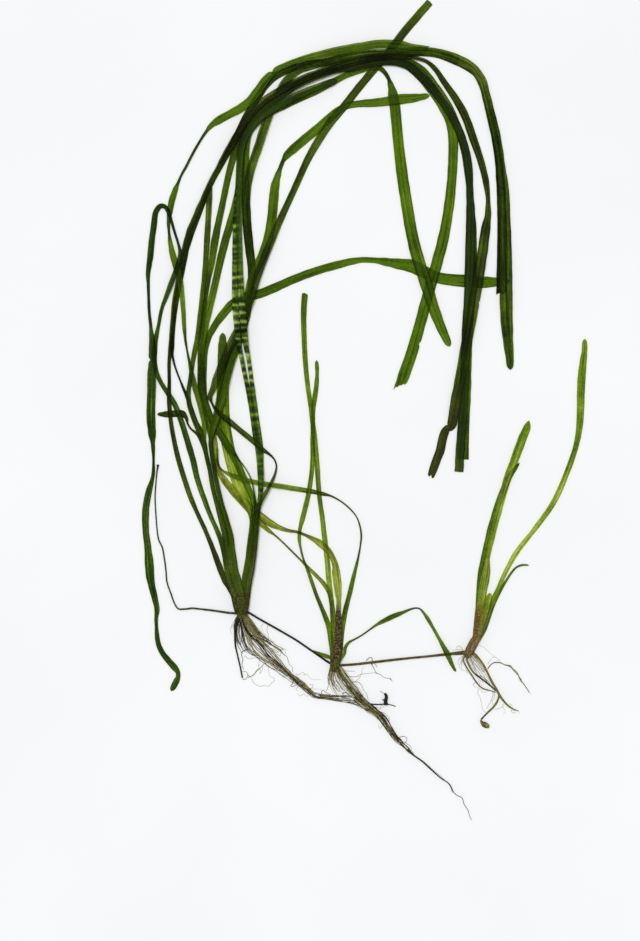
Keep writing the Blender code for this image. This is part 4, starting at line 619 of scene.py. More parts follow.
        (4.4, 170.7, 4.1), (6.9, 176.9, 4.6), (10, 183, 4.9), (12.3, 189.7, 4.9), (14.1, 197.4, 4.9),
        (15.2, 205.6, 4.9), (15.8, 212.8, 4.9), (16.5, 219, 4.5), (17.8, 224.1, 3.3), (19.2, 228.3, 2.1),
        (20.6, 231.9, 2.1), (22.9, 235.2, 3.9), (26.2, 238.3, 4.6), (31.4, 242.7, 4.7),
        (37.5, 247.8, 4.6), (43.7, 253.2, 4.4), (48.8, 257.8, 3.6), (53, 259.9, 3.1), (57.6, 261, 3.3),
        (65.3, 261.6, 4), (73, 262.4, 4.6), (80.7, 263.6, 5.3), (86.9, 264.1, 4.6), (92, 264.8, 3.3),
        (95.9, 265.5, 0.8),
    )),
    "mother_leaf_banded_left": (
        "deep_green_leaf", banded_leaf, (LIGHT, MIDDLE, MIDDLE, DARK, DARK, DEEP, DEEP),
        (0, 0.1, -0.1), (), (
        (2.4, 9, 1.3), (2.7, 12.3, 1.4), (3.2, 16.5, 1.9), (4.3, 21.6, 2.1), (5, 26.7, 2.1),
        (5.7, 31.9, 2.1), (6.2, 37, 2.1), (6.8, 42.2, 2.1), (7.2, 47.3, 2.1), (8, 53.5, 2.3),
        (8.9, 60.1, 2.4), (9, 67.9, 2.8), (8.6, 75.6, 2.9), (7.9, 83.3, 3.1), (6.5, 91, 3.1),
        (5.4, 98.7, 2.9), (4.1, 106.4, 2.6), (2.6, 114.1, 2.3), (1, 121.8, 2.2), (-0.5, 129.6, 2.2),
        (-1.8, 135.7, 2.4), (-2.6, 142.4, 2.9), (-3.3, 150.1, 3.2), (-3.8, 157.8, 3.4), (-4, 165.5, 3.4),
        (-3.9, 175.8, 3.4), (-3.8, 186.1, 3.3), (-3.6, 196.4, 3.3), (-3.1, 206.7, 3.2), (-2.6, 217, 2.8),
        (-2.2, 228.3, 2.6), (-1.5, 238.5, 2.8), (0.8, 246.3, 3.3), (5.1, 252.9, 3.6), (11.8, 258.8, 3.6),
        (19.5, 264.8, 3.6), (27.8, 270.4, 3.3), (37, 274.5, 3.1), (47.3, 277.9, 2.8), (57.6, 279.7, 3.3),
        (67.9, 282, 3.3), (77.1, 282.5, 3.6), (84.3, 280.7, 3.9), (91, 275.6, 4.1), (97.7, 268.4, 4.1),
        (103.1, 261.4, 4.1), (107.1, 255, 4.1), (110.7, 247.8, 4.1), (113.3, 241.1, 4.1),
        (115.2, 233.4, 4.1), (116, 227.2, 4.1), (116.4, 221.1, 3.6), (116.7, 211.8, 3.9),
        (117, 199, 4.9), (116.7, 186.1, 5.1), (116.4, 173.3, 5.1), (115.9, 160.4, 4.9),
        (115.2, 147.5, 4.8), (114.4, 134.7, 4.8), (114, 121.8, 4.6), (113.4, 109, 4.6),
        (112.6, 96.1, 4.6), (111.7, 84.3, 4.6), (111, 72, 4.6),
    )),
    "mother_leaf_banded_right": (
        "deep_green_leaf", banded_leaf, (LIGHT, MIDDLE, MIDDLE, MIDDLE, DEEP),
        (), (), (
        (2.4, 9, 1.3), (2.7, 12.3, 1.4), (3.2, 16.5, 1.9), (4.3, 21.6, 2.1), (5, 26.7, 2.1),
        (5.7, 31.9, 2.1), (6.2, 37, 2.1), (6.8, 42.2, 2.1), (7.2, 47.3, 2.1), (7.7, 53.5, 2.1),
        (9, 60.1, 2.1), (9.4, 67.9, 2.6), (9.3, 75.6, 2.6), (9, 83.3, 2.9), (8, 91, 3.1),
        (6.9, 98.7, 2.9), (5.9, 106.4, 2.8), (5.1, 113.1, 2.5), (4.1, 120.8, 2.2), (3.1, 128.5, 2.2),
        (1.8, 135.7, 2.6), (1, 142.4, 3.1), (0.3, 150.1, 3.4), (-0.4, 157.8, 3.6), (-1, 165.5, 3.3),
        (-1.5, 175.8, 3.1), (-1.8, 186.1, 3.1), (-2.1, 196.4, 3.1), (-2.1, 206.7, 2.9), (-1.8, 217, 2.6),
        (-1.3, 228.3, 2.6), (-0.3, 238.5, 2.8), (2.3, 245.7, 3.1), (7.2, 251.9, 3.3), (13.9, 257.1, 3.6),
        (21.6, 261.7, 3.9), (29.3, 265.8, 3.9), (38.6, 269.6, 3.6), (48.3, 273.2, 3.3),
    )),
    "mother_leaf_arch_dark": (
        "deep_green_leaf", brown_green_leaf, (MIDDLE, DEEP, DEEP, DARK, DARK, DEEP, MIDDLE),
        (0.6, 1.6, 0, 1.2, 0.2), ((121.8, 158.9, 0.8),), (
        (-5.9, 9, 1.3), (-7.6, 12.3, 1.7), (-9.7, 16.5, 2.7), (-11.5, 21.6, 3.1), (-13.4, 26.7, 3),
        (-15.7, 32.9, 2.4), (-19.5, 42.2, 2.2), (-24.2, 52.4, 2.2), (-27.2, 59.6, 2.6),
        (-30.3, 68.9, 2.6), (-33.4, 79.2, 2.6), (-35.7, 89.5, 2.3), (-37.2, 98.7, 2.1), (-38, 109, 2.2),
        (-37.9, 119.3, 1.8), (-38, 127, 1.8), (-37.3, 137.3, 1.9), (-36.2, 149.1, 2.3),
        (-35, 160.4, 2.7), (-33.3, 169.1, 2.8), (-31.4, 178.4, 2.8), (-29.9, 186.1, 3.3),
        (-28.5, 191.2, 3.6), (-26.9, 196.4, 3.8), (-24.7, 201.5, 3.6), (-22.7, 206.7, 3.3),
        (-20.6, 211.8, 2.8), (-18.4, 217, 2.6), (-16, 222.1, 2.6), (-13.1, 227.2, 2.7),
        (-10.4, 232.4, 3), (-7.2, 238, 3.3), (-3.1, 244.7, 3.6), (1, 251.4, 3.6), (5.7, 257.6, 3.9),
        (11.3, 262.7, 3.9), (19, 267.6, 3.9), (29.3, 273, 3.9), (39.6, 277.1, 3.9), (49.9, 280.7, 3.9),
        (60.1, 283.3, 3.6), (70.4, 284.8, 3.1), (80.7, 285.3, 2.6), (88.4, 284.6, 1.8), (94.6, 282.8, 2),
        (98.7, 279.2, 2.6), (103.3, 272.5, 3.1), (108, 265.8, 3.6), (112.1, 259.1, 4.1),
        (115.4, 251.9, 4.1), (118.2, 243.7, 4.1), (122.1, 232.4, 3.6), (124.7, 222.1, 3.3),
        (126, 211.8, 2.2), (125.9, 204.1, 3.3), (124.7, 196.4, 4.9), (123.6, 188.7, 5.1),
        (122.4, 181, 5.3), (120.8, 170.7, 5.4), (119, 160.4, 5.4), (116.7, 147.5, 5.4),
        (114.6, 137.3, 5.4), (112.6, 125.4, 5.4), (110.5, 114.1, 5.4), (109, 106.4, 5.4),
        (107.9, 99.7, 5), (107.3, 96.3, 4.8), (106.6, 94.9, 3.8), (104.8, 94.2, 3.6), (103.8, 92.5, 4.4),
        (102.8, 89.7, 4.5), (101.5, 83.3, 4.6), (99.5, 78.1, 4.4), (97.9, 73.5, 4.3), (96.8, 70.4, 3.6),
    )),
    "mother_leaf_arch_torn": (
        "green_leaf", green_leaf, (LIGHT, MIDDLE, MIDDLE, MIDDLE, DEEP),
        (1.2, -0.6, 0.5, -1.4), ((14.6, 278.2, 1.6),), (
        (-2.6, 9, 1.3), (-3.6, 12.3, 1.4), (-4.8, 16.5, 1.6), (-6.2, 21.6, 1.7), (-6.9, 26.7, 1.8),
        (-7.8, 31.9, 1.9), (-9, 38.6, 2.1), (-11.2, 47.3, 2.2), (-13.7, 56.6, 2.2), (-15.8, 65.3, 2.2),
        (-17.1, 73, 2.1), (-18.9, 80.7, 2.1), (-20.3, 88.4, 2.2), (-19.8, 96.1, 2.6),
        (-21.1, 102.8, 2.8), (-22.6, 109, 3.1), (-24.2, 114.1, 3.1), (-25.6, 119.3, 2.6),
        (-26.7, 124.4, 2.1), (-27.8, 129.6, 1.3), (-28.8, 134.7, 1), (-29.6, 139.8, 1.3),
        (-30.3, 147.5, 2.1), (-30.7, 155.3, 2.3), (-31.4, 163, 2.6), (-32.4, 170.2, 3.1),
        (-34.2, 177.4, 3.6), (-36.1, 183.5, 3.2), (-37.3, 189.2, 2.3), (-38, 194.8, 1.3),
        (-38.3, 200.5, 1.8), (-37.5, 206.7, 3.1), (-36.2, 212.8, 3.3), (-34.8, 217, 2.8),
        (-33.4, 220.5, 1.5), (-31.9, 224.1, 1.2), (-29.3, 228.8, 1.4), (-26.2, 234.9, 1.4),
        (-22.1, 242.1, 1.3), (-19, 246.8, 1.5), (-16.5, 249.9, 2.6), (-12.3, 252.9, 4.1),
        (-6.7, 256, 4.1), (-1.5, 258.8, 4.4), (3.6, 262.7, 4.5), (8, 268.1, 4.7), (11.1, 272.5, 4.6),
        (13.8, 275.7, 3.9), (17.2, 278.5, 3.4), (22.1, 281.1, 2.9), (29.3, 283.9, 2.7), (37, 285.6, 3.9),
        (47.3, 287.9, 4.4), (60.1, 290.2, 4.4), (70.4, 291.8, 4.3), (80.7, 291.3, 4.4), (88.4, 290, 3.1),
        (94.9, 289.4, 2.6),
    )),
    "mother_leaf_straight": (
        "green_leaf", brown_green_leaf, (LIGHT, MIDDLE, DEEP, MIDDLE, MIDDLE),
        (0, 0.2, -0.2), (), (
        (2.4, 9, 1.3), (2.7, 12.3, 1.4), (3.2, 16.5, 1.9), (4.3, 21.6, 2.1), (5, 26.7, 2.1),
        (5.7, 31.9, 2.1), (6.2, 37, 2.1), (6.8, 42.2, 2.1), (7.2, 47.3, 2.1), (8.5, 55, 2.1),
        (10.8, 59.6, 2.1), (13.1, 63.7, 1.8), (15.2, 67.9, 1.5), (16.7, 71.7, 1.2), (17.2, 75.1, 0.9),
        (15.9, 78.7, 0.9), (13.4, 81.2, 1.3), (10, 83.5, 2.4), (6.7, 86.6, 2.8), (2.6, 90, 2.8),
        (-2.1, 93.8, 2.8), (-6.7, 97.7, 3.1), (-10.8, 101, 2.8), (-13.9, 104.1, 1.8), (-16, 107.4, 1.1),
        (-17, 110.5, 2.6), (-15.6, 114.1, 3.1), (-13.9, 119.3, 3.6), (-11.5, 125.4, 3.9),
        (-8.7, 132.1, 4.1), (-5.9, 138.3, 4.1), (-2.6, 145, 3.9), (1, 152.7, 3.6), (4.1, 160.4, 3.6),
        (6.7, 169.7, 3.6), (9.8, 178.9, 3.9), (13.9, 189.2, 3.9), (18.5, 200.2, 3.6), (23.6, 211.3, 3.3),
        (28.3, 221.6, 3.4), (32.9, 231.9, 3.6), (38.6, 242.1, 4.1), (44.7, 251.4, 4.3),
        (51.7, 259.6, 4.1), (58.6, 268.4, 4), (67.3, 278.9, 4.1), (76.1, 289.4, 4.1), (83.3, 298.7, 4.2),
        (91, 307.7, 4.1), (96.1, 313.6, 3.9),
    )),
    "mother_leaf_far_left": (
        "green_leaf", blue_leaf, (LIGHT, MIDDLE, DEEP, MIDDLE, MIDDLE),
        (), ((-48.3, 129.6, 1.3),), (
        (-4.2, 9, 1.3), (-5.6, 12.3, 1.4), (-7, 16.5, 1.6), (-8.3, 21.6, 1.9), (-9.5, 28.8, 2),
        (-11, 35.5, 2.1), (-13, 41.1, 2.2), (-15.8, 47.3, 2.3), (-19.8, 57.6, 2.6), (-23.6, 68.9, 2.8),
        (-25.7, 78.1, 3.1), (-28, 85.9, 3.1), (-30.8, 95.1, 2.8), (-32.9, 101.3, 2.8),
        (-34.7, 105.9, 2.8), (-37, 110, 2.6), (-39.8, 114.1, 2.3), (-42.9, 119.3, 2.3),
        (-44.5, 123.4, 2.3), (-45.5, 128.5, 2.6), (-45.5, 133.7, 2.8), (-44.7, 140.9, 2.3),
        (-43.4, 147.5, 1.8), (-41.6, 156.3, 1.8), (-39.1, 163, 2.3), (-37, 168.6, 2.6),
        (-35, 173.8, 2.6), (-33.2, 179.4, 2.1), (-32.4, 185.1, 1.8), (-33.4, 189.7, 1.3),
        (-35.2, 195.4, 1.3), (-37, 201.5, 1.5), (-38.6, 206.2, 2.1), (-40.4, 208.5, 2.3),
        (-42.4, 208.7, 2.6), (-44.3, 206.7, 2.8), (-45.5, 201.5, 3.1), (-46, 197.4, 3.1),
        (-47, 190.2, 3.1), (-47.5, 184, 3.2), (-48.2, 178.9, 2.8), (-48.8, 174.3, 2.3),
        (-48.7, 168.6, 1.6), (-48.5, 161.4, 1.4), (-48.2, 154.2, 1.5), (-47.5, 147.5, 1.6),
        (-46.9, 140.9, 2.6), (-46.6, 134.7, 3.6), (-46.5, 128.5, 4.1), (-46.9, 121.8, 4.4),
        (-47, 114.1, 4.4), (-47.3, 106.4, 4.4), (-47.3, 98.7, 4.6), (-46.8, 92.5, 4.1),
        (-46.3, 85.9, 2.1), (-46, 78.1, 1.3), (-46.3, 69.9, 1.8), (-48.6, 61.2, 3.3), (-50.1, 51.4, 3.6),
        (-49.9, 41.1, 3.3), (-48.8, 31.9, 3.6), (-48.3, 25.7, 4.6), (-47.8, 19, 4.4), (-47, 13.9, 3.6),
        (-45.4, 7.2, 3.1), (-44.2, 1, 2.7), (-44.6, -3.1, 1.9), (-44.5, -7.7, 1.7), (-44.1, -12.9, 2.4),
        (-43.2, -17.5, 2.6), (-41.4, -21.1, 2.8), (-38.6, -24.7, 3.1), (-35.5, -28.3, 3.3),
        (-33.4, -31.4, 2.3), (-33.4, -33.4, 2.3), (-34.2, -35.5, 3.1), (-35.2, -37.5, 3.1),
        (-37, -40.6, 0.5),
    )),
}
OTHER_RUNS = {
    "mother_leaf_banded_left": {
        "barred": ((0.04, 0), (0.1, 0.3), (0.2, 0.4), (0.24, 0.8), (0.32, 0.8), (0.37, 0.5), (0.41, 0)),
        "raised": ((0.22, 0), (0.24, 1.3), (0.29, 1.3), (0.33, 0)),
    },
    "mother_leaf_banded_right": {
        "barred": ((0.06, 0), (0.2, 0.3), (0.38, 0.4), (0.42, 0.8), (0.56, 0.8), (0.6, 0.3), (0.7, 0)),
        "raised": ((0.4, 0), (0.44, 0.8), (0.55, 0.8), (0.6, 0)),
    },
    "mother_leaf_arch_dark": {"aged": ((0.91, 0), (0.95, 0.4), (1, 0.45))},
    "mother_leaf_straight": {"raised": ((0.78, 0), (0.83, -3.6))},
}


def broad_foot(route, broad, aside=0.0):
    """The route with its foot some mm aside and at least as wide as broad, pairs of y and width.
    The widening fades out over FOOT_FADE below the last y, and past that y nothing changes."""
    heights, widths = zip(*broad)
    foot = []
    for x, y, wide in route:
        if y > heights[-1]:
            break
        share = min((heights[-1] - y) / FOOT_FADE, 1.0)
        wider = wide + (np.interp(y, heights, widths) - wide) * share
        foot.append((x + aside, y, max(wide, wider)))
    return (*foot, *route[len(foot):])


def from_inside(route, middle, inside):
    """The route with a start inside the crown, where the leaves draw together. inside are the
    crown's x and y, how much is left there of the leaf's distance from the middle, and its width."""
    off = route[0][0] - middle
    return (*((x + off * left, y, wide) for x, y, left, wide in inside), *route)


# the leaves come out of the crown in two bundles, with the broad blades pressed together
FOOT_FADE = 10.3
LEFT_BUNDLE = ((9, 2.7), (11.3, 2.9), (16.5, 3.2), (21.6, 2.5), (26.7, 2.5), (37, 2.6), (47.3, 2.6))
RIGHT_BUNDLE = ((9, 2.2), (11.3, 2.3), (16.5, 2.7), (21.6, 2.6), (26.7, 2.6), (37, 2.5), (47.3, 2.5))
ASIDE = {
    "mother_leaf_short_broad": 0.2, "mother_leaf_level": -0.2, "mother_leaf_small_left": 0.3,
    "mother_leaf_arch_thin": -0.3, "mother_leaf_short_torn": -0.1, "mother_leaf_arch_left": 0.3,
    "mother_leaf_arch_bright": -0.3, "mother_leaf_arch_outer": -0.3, "mother_leaf_hooked": 0.2,
    "mother_leaf_banded_right": 0.3, "mother_leaf_arch_torn": 0.2, "mother_leaf_straight": -0.1,
}
MOTHER_MIDDLE = -0.8
INSIDE_MOTHER = ((-0.5, -1, 0.45, 2.4), (-0.5, 3.3, 0.65, 2.6))
MOTHER_FOOT = ((0, 1), (8, 0.8), (15, 0.4), (34, 0.2), (48, 0))
for number, (node, (slot, finish, tones, *edge, route)) in enumerate(MOTHER_LEAVES.items()):
    others = OTHER_RUNS.get(node, {})
    lift = number * 0.00003
    if node != "mother_leaf_arch_dark":
        bundle = RIGHT_BUNDLE if route[0][0] > 0 else LEFT_BUNDLE
        route = broad_foot(route, bundle, ASIDE.get(node, 0.0))
    route = from_inside(route, MOTHER_MIDDLE, INSIDE_MOTHER)
    leaf_strip(node, "mother_crown", lift, route, slot, finish, tones, *edge, MOTHER_FOOT, others)

# The middle rosette's leaves: narrower and more folded than the mother's, with one old yellow leaf
# that still stands in its speckled brown sheath.
old_leaf = leaf_finish("yellow_green_blade", (
    (0.0, tint(58, 54, 22)), (0.25, tint(92, 94, 30)), (0.5, tint(110, 122, 30)),
    (0.75, tint(150, 158, 56)), (1.0, tint(196, 202, 112))), (tint(46, 32, 14), tint(122, 108, 76)))
MIDDLE_LEAVES = {
    "middle_leaf_lower_left": ("yellow_green_leaf", old_leaf, (MIDDLE, MIDDLE, LIGHT), (), (), (
        (46.6, -20.5, 1.3), (46.6, -11.8, 2.1), (46.1, -2.6, 2.2), (45.5, 4.6, 2.3), (44.2, 10.3, 2.3),
        (41.6, 14.4, 2.2), (37.5, 18.8, 1.9), (32.9, 23.4, 1.5), (29.3, 27, 1), (24.7, 31.6, 0.9),
        (20, 36.2, 0.9), (16.2, 39.6, 1), (13.1, 41.9, 2.1), (9.8, 45, 2.8), (5.1, 50.1, 3.1),
        (0.3, 55.3, 2.8), (-4.6, 60.4, 2.6), (-8.7, 65.3, 1.5), (-11.1, 68.9, 0.5),
    )),
    "middle_leaf_right_arch": ("green_leaf", fresh_leaf, (DEEP, DEEP, DEEP, MIDDLE, MIDDLE), (), (), (
        (50, -20.5, 1.3), (50.2, -16.5, 1.9), (50.6, -11.3, 2.3), (51.6, -4.6, 2.6), (52.8, 1.5, 2.6),
        (54.1, 6.7, 2.3), (55.4, 11.8, 2.4), (56.7, 17.5, 2.1), (58.1, 23.1, 1.6), (59.4, 28.8, 1),
        (60.3, 33.9, 0.8), (60.8, 39.1, 0.9), (60.1, 44.2, 0.8), (58.4, 48.8, 0.7), (55, 53, 0.8),
        (50.4, 56.8, 0.8), (45.2, 59.6, 1), (40.6, 60.8, 2), (34.4, 62.1, 2.5), (27.8, 63.2, 2.6),
        (19, 64.7, 2.6), (11.3, 65.8, 2.6), (3.6, 67.3, 2.4), (-2.6, 69.2, 2.6), (-7.2, 70.9, 1.9),
        (-10.8, 73, 1), (-12.9, 76.1, 0.8), (-13.2, 80.7, 0.8), (-13.2, 84.8, 0.5),
    )),
    "middle_leaf_pointed": (
        "fresh_green_leaf", fresh_leaf, (MIDDLE, DEEP, MIDDLE, MIDDLE, DEEP),
        (), (), (
        (45.9, -20.5, 1.3), (45.2, -14.4, 2.2), (44, -7.2, 2.1), (41.9, -1.5, 2.1), (39.8, 3.6, 1.9),
        (37.5, 9.3, 1.8), (35.2, 15.9, 1.8), (33.2, 21.6, 1.4), (31.2, 26.7, 1), (29.7, 32.4, 1.1),
        (28.9, 38, 1.8), (29.3, 42.7, 1.9), (30.7, 48.3, 2.5), (32.1, 54, 2.5), (33.3, 59.1, 2.3),
        (34.3, 64.8, 2.3), (35.2, 70.9, 2.2), (35.7, 78.1, 2.2), (35.8, 86.9, 2.3), (35.9, 96.1, 2.3),
        (36.1, 103.8, 2.2), (37, 111, 2.5), (37.8, 117.2, 2.3), (38.1, 122.4, 1.7), (38, 126, 2),
        (37.8, 129.4, 0.5),
    )),
    "middle_leaf_blunt": (
        "fresh_green_leaf", fresh_leaf, (MIDDLE, LIGHT, MIDDLE, MIDDLE, DEEP),
        (0, 0.4, 0.1, -0.4), (), (
        (47.5, -20.5, 1.3), (47.2, -17, 2.1), (47, -12.3, 2.3), (46.5, -5.1, 2.3), (45.8, 3.1, 2.3),
        (44.7, 11.3, 2.6), (43.9, 19, 2.6), (43.3, 26.7, 2.6), (42.6, 32.9, 2.6), (41.8, 39.6, 2.6),
        (40.8, 48.3, 2.4), (39.6, 56.6, 2.3), (38.8, 64.3, 2.4), (38.3, 72, 2.5), (37.6, 80.7, 2.6),
        (36.8, 89.5, 2.6), (35.7, 98.2, 2.4), (34.7, 106.4, 2.3), (33.4, 115.2, 2.3), (32.4, 124.4, 2.4),
        (31.7, 134.7, 2.6), (31.3, 145, 2.7), (31.2, 154.2, 2.9), (31.6, 160.9, 3.1), (31.9, 163.6, 2.9),
    )),
    "middle_leaf_yellow": ("olive_leaf", old_leaf, (DEEP, LIGHT, MIDDLE, LIGHT, MIDDLE), (), (), (
        (48.4, -20.5, 3.8), (48.7, -15.9, 3.8), (48.8, -12.3, 3.2), (49, -5.1, 3.2), (49, 1.5, 2.4),
        (49.2, 5.7, 2.3), (48.9, 9.8, 3.4), (48.5, 14.9, 4.2), (47.8, 20.6, 4.2), (47.6, 23.1, 3.2),
        (46, 28, 2.8), (43.2, 32.1, 3.3), (39.8, 35.2, 3.6), (36, 37.5, 2.3), (31.9, 39.6, 1.5),
        (27.8, 41.1, 1.4), (23.6, 41.8, 1.7), (19, 43.2, 2.4), (14.4, 45.4, 3.6), (10.3, 48.2, 4.1),
        (4.6, 52.7, 3.9), (-0.5, 57.8, 3.8), (-5.7, 63, 3.8), (-9.5, 67.6, 3.6), (-12.6, 73, 2.3),
        (-13.6, 78.7, 2.3), (-14.1, 84.8, 2.6), (-14.8, 90.5, 2.4), (-15.4, 94.1, 0.6),
    )),
    "middle_leaf_short": ("olive_leaf", green_leaf, (MIDDLE, DEEP), (), (), (
        (47, -25.2, 1.5), (44.5, -23.2, 1.6), (42.7, -22.6, 2.1), (39.6, -21.4, 1.4), (36.8, -20.2, 0.6),
        (35.5, -19.7, 0.4),
    )),
    "middle_leaf_bent": ("green_leaf", fresh_leaf, (MIDDLE, DEEP, DARK), (), (), (
        (48.6, -26.5, 1.5), (50.4, -23.6, 1.5), (52.2, -21.2, 1.4), (52.6, -18.3, 1.7),
        (54.3, -15.8, 1.4), (57.1, -14.2, 0.9), (60.7, -12.2, 0.8), (64.8, -9.3, 0.8), (68.4, -6.8, 1.2),
        (71.5, -5, 2.1), (75.6, -3, 2.6), (79.2, -1.4, 2.4), (82.8, 0, 1.5), (85.9, 1.3, 1),
        (88.9, 2, 0.8), (91, 1.6, 0.8), (92.5, 0, 1.1), (94.9, -3.4, 1.9), (97.7, -8.2, 1.5),
        (100.6, -13.4, 1.6), (102.8, -17.5, 2.2), (104.9, -21.3, 2.9), (106.6, -25.2, 2.2),
        (108.3, -28.8, 1.6), (109.5, -30.7, 0.8),
    )),
}
MIDDLE_FOOT = ((0, 1), (7, 0.6), (14, 0))
LONGER_FEET = {
    "middle_leaf_yellow": ((0, 0.3), (5, 0.75), (8, 0.95), (27, 0.95), (30, 0.6), (32, 0.1), (36, 0)),
    "middle_leaf_bent": ((0, 0.6), (4, 0)),
    "middle_leaf_short": ((0, 0.6), (5, 0)),
}
SIDE_LEAVES = ("middle_leaf_short", "middle_leaf_bent")
MIDDLE_BUNDLE = ((-20.5, 2.4), (-14.4, 2.8), (-4.1, 2.6), (6.2, 2.4))
MIDDLE_MIDDLE = 48.1
INSIDE_MIDDLE = ((47.3, -28.8, 0.45, 2.3), (47.6, -24.4, 0.7, 2.5))
RAISED_ENDS = {
    "middle_leaf_right_arch": ((0.66, 0), (0.74, 3.2)),
    "middle_leaf_yellow": ((0.8, 0), (0.86, -3.0)),
}
for number, (node, (slot, finish, tones, *edge, route)) in enumerate(MIDDLE_LEAVES.items()):
    foot = LONGER_FEET.get(node, MIDDLE_FOOT)
    lift = number * 0.00003
    others = {"raised": RAISED_ENDS.get(node, NO_RUN)}
    if node not in LONGER_FEET:
        route = broad_foot(route, MIDDLE_BUNDLE)
    if node not in SIDE_LEAVES:
        route = from_inside(route, MIDDLE_MIDDLE, INSIDE_MIDDLE)
    leaf_strip(node, "middle_crown", lift, route, slot, finish, tones, *edge, foot, others)

# The young rosette's leaves, the palest on the plant, rise together out of a clear sheath with a
# reddish neck.
young_looks = (
    (0.0, tint(36, 54, 6)), (0.25, tint(62, 88, 10)), (0.5, tint(98, 124, 18)),
    (0.75, tint(138, 158, 44)), (1.0, tint(190, 198, 100)))
young_leaf = leaf_finish("young_blade", young_looks, (tint(108, 86, 50), tint(152, 138, 100)))
sheath_leaf = leaf_finish("young_sheath", young_looks, (tint(98, 52, 12), tint(146, 124, 72)))
YOUNG_LEAVES = {
    "young_leaf_front": ("fresh_green_leaf", young_leaf, (MIDDLE, MIDDLE, DEEP, DEEP, DARK), (), (), (
        (118.7, -12.1, 1.3), (119.4, -9, 2.1), (120, -4.1, 2.3), (120.6, 3.1, 2.1), (121.1, 10.3, 2.3),
        (121.7, 16.5, 2.7), (122.7, 22.6, 3), (124.2, 29.3, 3.1), (125.6, 35.5, 3.1), (127.2, 42.2, 3.3),
        (129.3, 49.4, 3.3), (131.6, 56.6, 3.4), (134.2, 63.2, 3.4), (136.9, 69.4, 2.9),
        (139.6, 73.3, 2.1), (142.1, 76.7, 1),
    )),
    "young_leaf_upright": ("green_leaf", young_leaf, (LIGHT, LIGHT, LIGHT, MIDDLE), (), (), (
        (119.8, -12.9, 1.4), (121.1, -9.8, 2.3), (122.1, -4.1, 3.1), (123.1, 3.1, 3.1),
        (123.6, 10.3, 3.3), (124.8, 16.5, 3.6), (125.4, 21.6, 3.3), (125.4, 26.7, 2.6),
        (126.5, 32.4, 2.8), (127.8, 38, 3.1), (129.8, 46.3, 3.3), (132.1, 54.5, 3.3), (133.9, 61.7, 3.6),
        (136.2, 69.4, 3.9), (138.8, 76.1, 4.1), (141.4, 83.3, 4.4), (143.9, 89.7, 4.4),
        (145.9, 94.6, 3.8), (147, 98.3, 1.5),
    )),
    "young_leaf_thin": ("green_leaf", young_leaf, (MIDDLE, MIDDLE, DEEP, DARK), (), (), (
        (121.8, -13.6, 1.3), (124.2, -9.3, 1.8), (126.5, -2.6, 1.9), (128.5, 3.1, 1.8), (130.8, 8, 1.5),
        (133.4, 12.9, 1.4), (136, 17.2, 1.1), (138.3, 20.6, 1), (140.6, 23, 0.9), (143.4, 24.1, 0.9),
        (147, 24, 0.6),
    )),
    "young_leaf_long_right": (
        "fresh_green_leaf", young_leaf, (LIGHT, LIGHT, LIGHT, MIDDLE, MIDDLE),
        (), (), (
        (121, -13.2, 1.4), (122.9, -9.8, 2.1), (124.9, -4.1, 2.6), (127, 2.1, 2.8), (129.3, 7.2, 3.1),
        (131.4, 12.3, 2.3), (133.4, 17.2, 2.2), (136, 22.6, 2.3), (139.3, 28.5, 2.6), (142.9, 33.7, 2.5),
        (147.8, 39.8, 2.3), (153.5, 47.3, 2.6), (158.3, 54, 2.7), (162.5, 61.9, 2.9), (165.5, 69.1, 2.7),
        (168.4, 76.6, 2.8), (170.9, 84.3, 2.7), (172.5, 91.5, 3.1), (173.3, 99.2, 3.6),
        (173.6, 109, 3.9), (174, 119.3, 4.1), (174.9, 128.5, 3.6), (175.6, 134.7, 2.9),
        (175.7, 140.3, 0.6),
    )),
    "young_sheath": ("yellow_green_leaf", sheath_leaf, (MIDDLE, LIGHT, PALE, PALE), (), (), (
        (120.1, -12.9, 3.2), (121.1, -8.2, 3.6), (122, -0.5, 4.1), (122.7, 7.2, 4.1), (123.9, 14.9, 4.2),
        (124.9, 20.6, 3.9), (125.5, 25.2, 2.6), (125.6, 28, 0.8),
    )),
    "young_bract": ("yellow_green_leaf", young_leaf, (LIGHT, LIGHT), (), (), (
        (121.1, -13, 1.8), (122, -8.7, 2.8), (123.4, -3.6, 3.6), (124.9, 2.1, 4.1), (126, 6.2, 3.8),
        (126.7, 8.5, 2.6), (127, 9.9, 0.8),
    )),
}
YOUNG_FOOT = ((0, 1), (9, 0.9), (13, 0.5), (22, 0.15), (30, 0))
SHEATH_FOOT = ((0, 0.7), (9, 0.6), (14, 0.9), (22, 0.9), (26, 0.4), (30, 0))
YOUNG_MIDDLE = 120.1
INSIDE_YOUNG = ((115.3, -21.8, 0.3, 1.9), (117.4, -17.5, 0.6, 2.1))
for number, (node, (slot, finish, tones, *edge, route)) in enumerate(YOUNG_LEAVES.items()):
    lift = number * 0.00003
    foot = SHEATH_FOOT if node == "young_sheath" else YOUNG_FOOT
    route = from_inside(route, YOUNG_MIDDLE, INSIDE_YOUNG)
    leaf_strip(node, "young_crown", lift, route, slot, finish, tones, *edge, foot, {})

# Runners and the flower stalk: smooth round stems, shrunken a little as they dried. The stalk ends
# in a small closed bud.


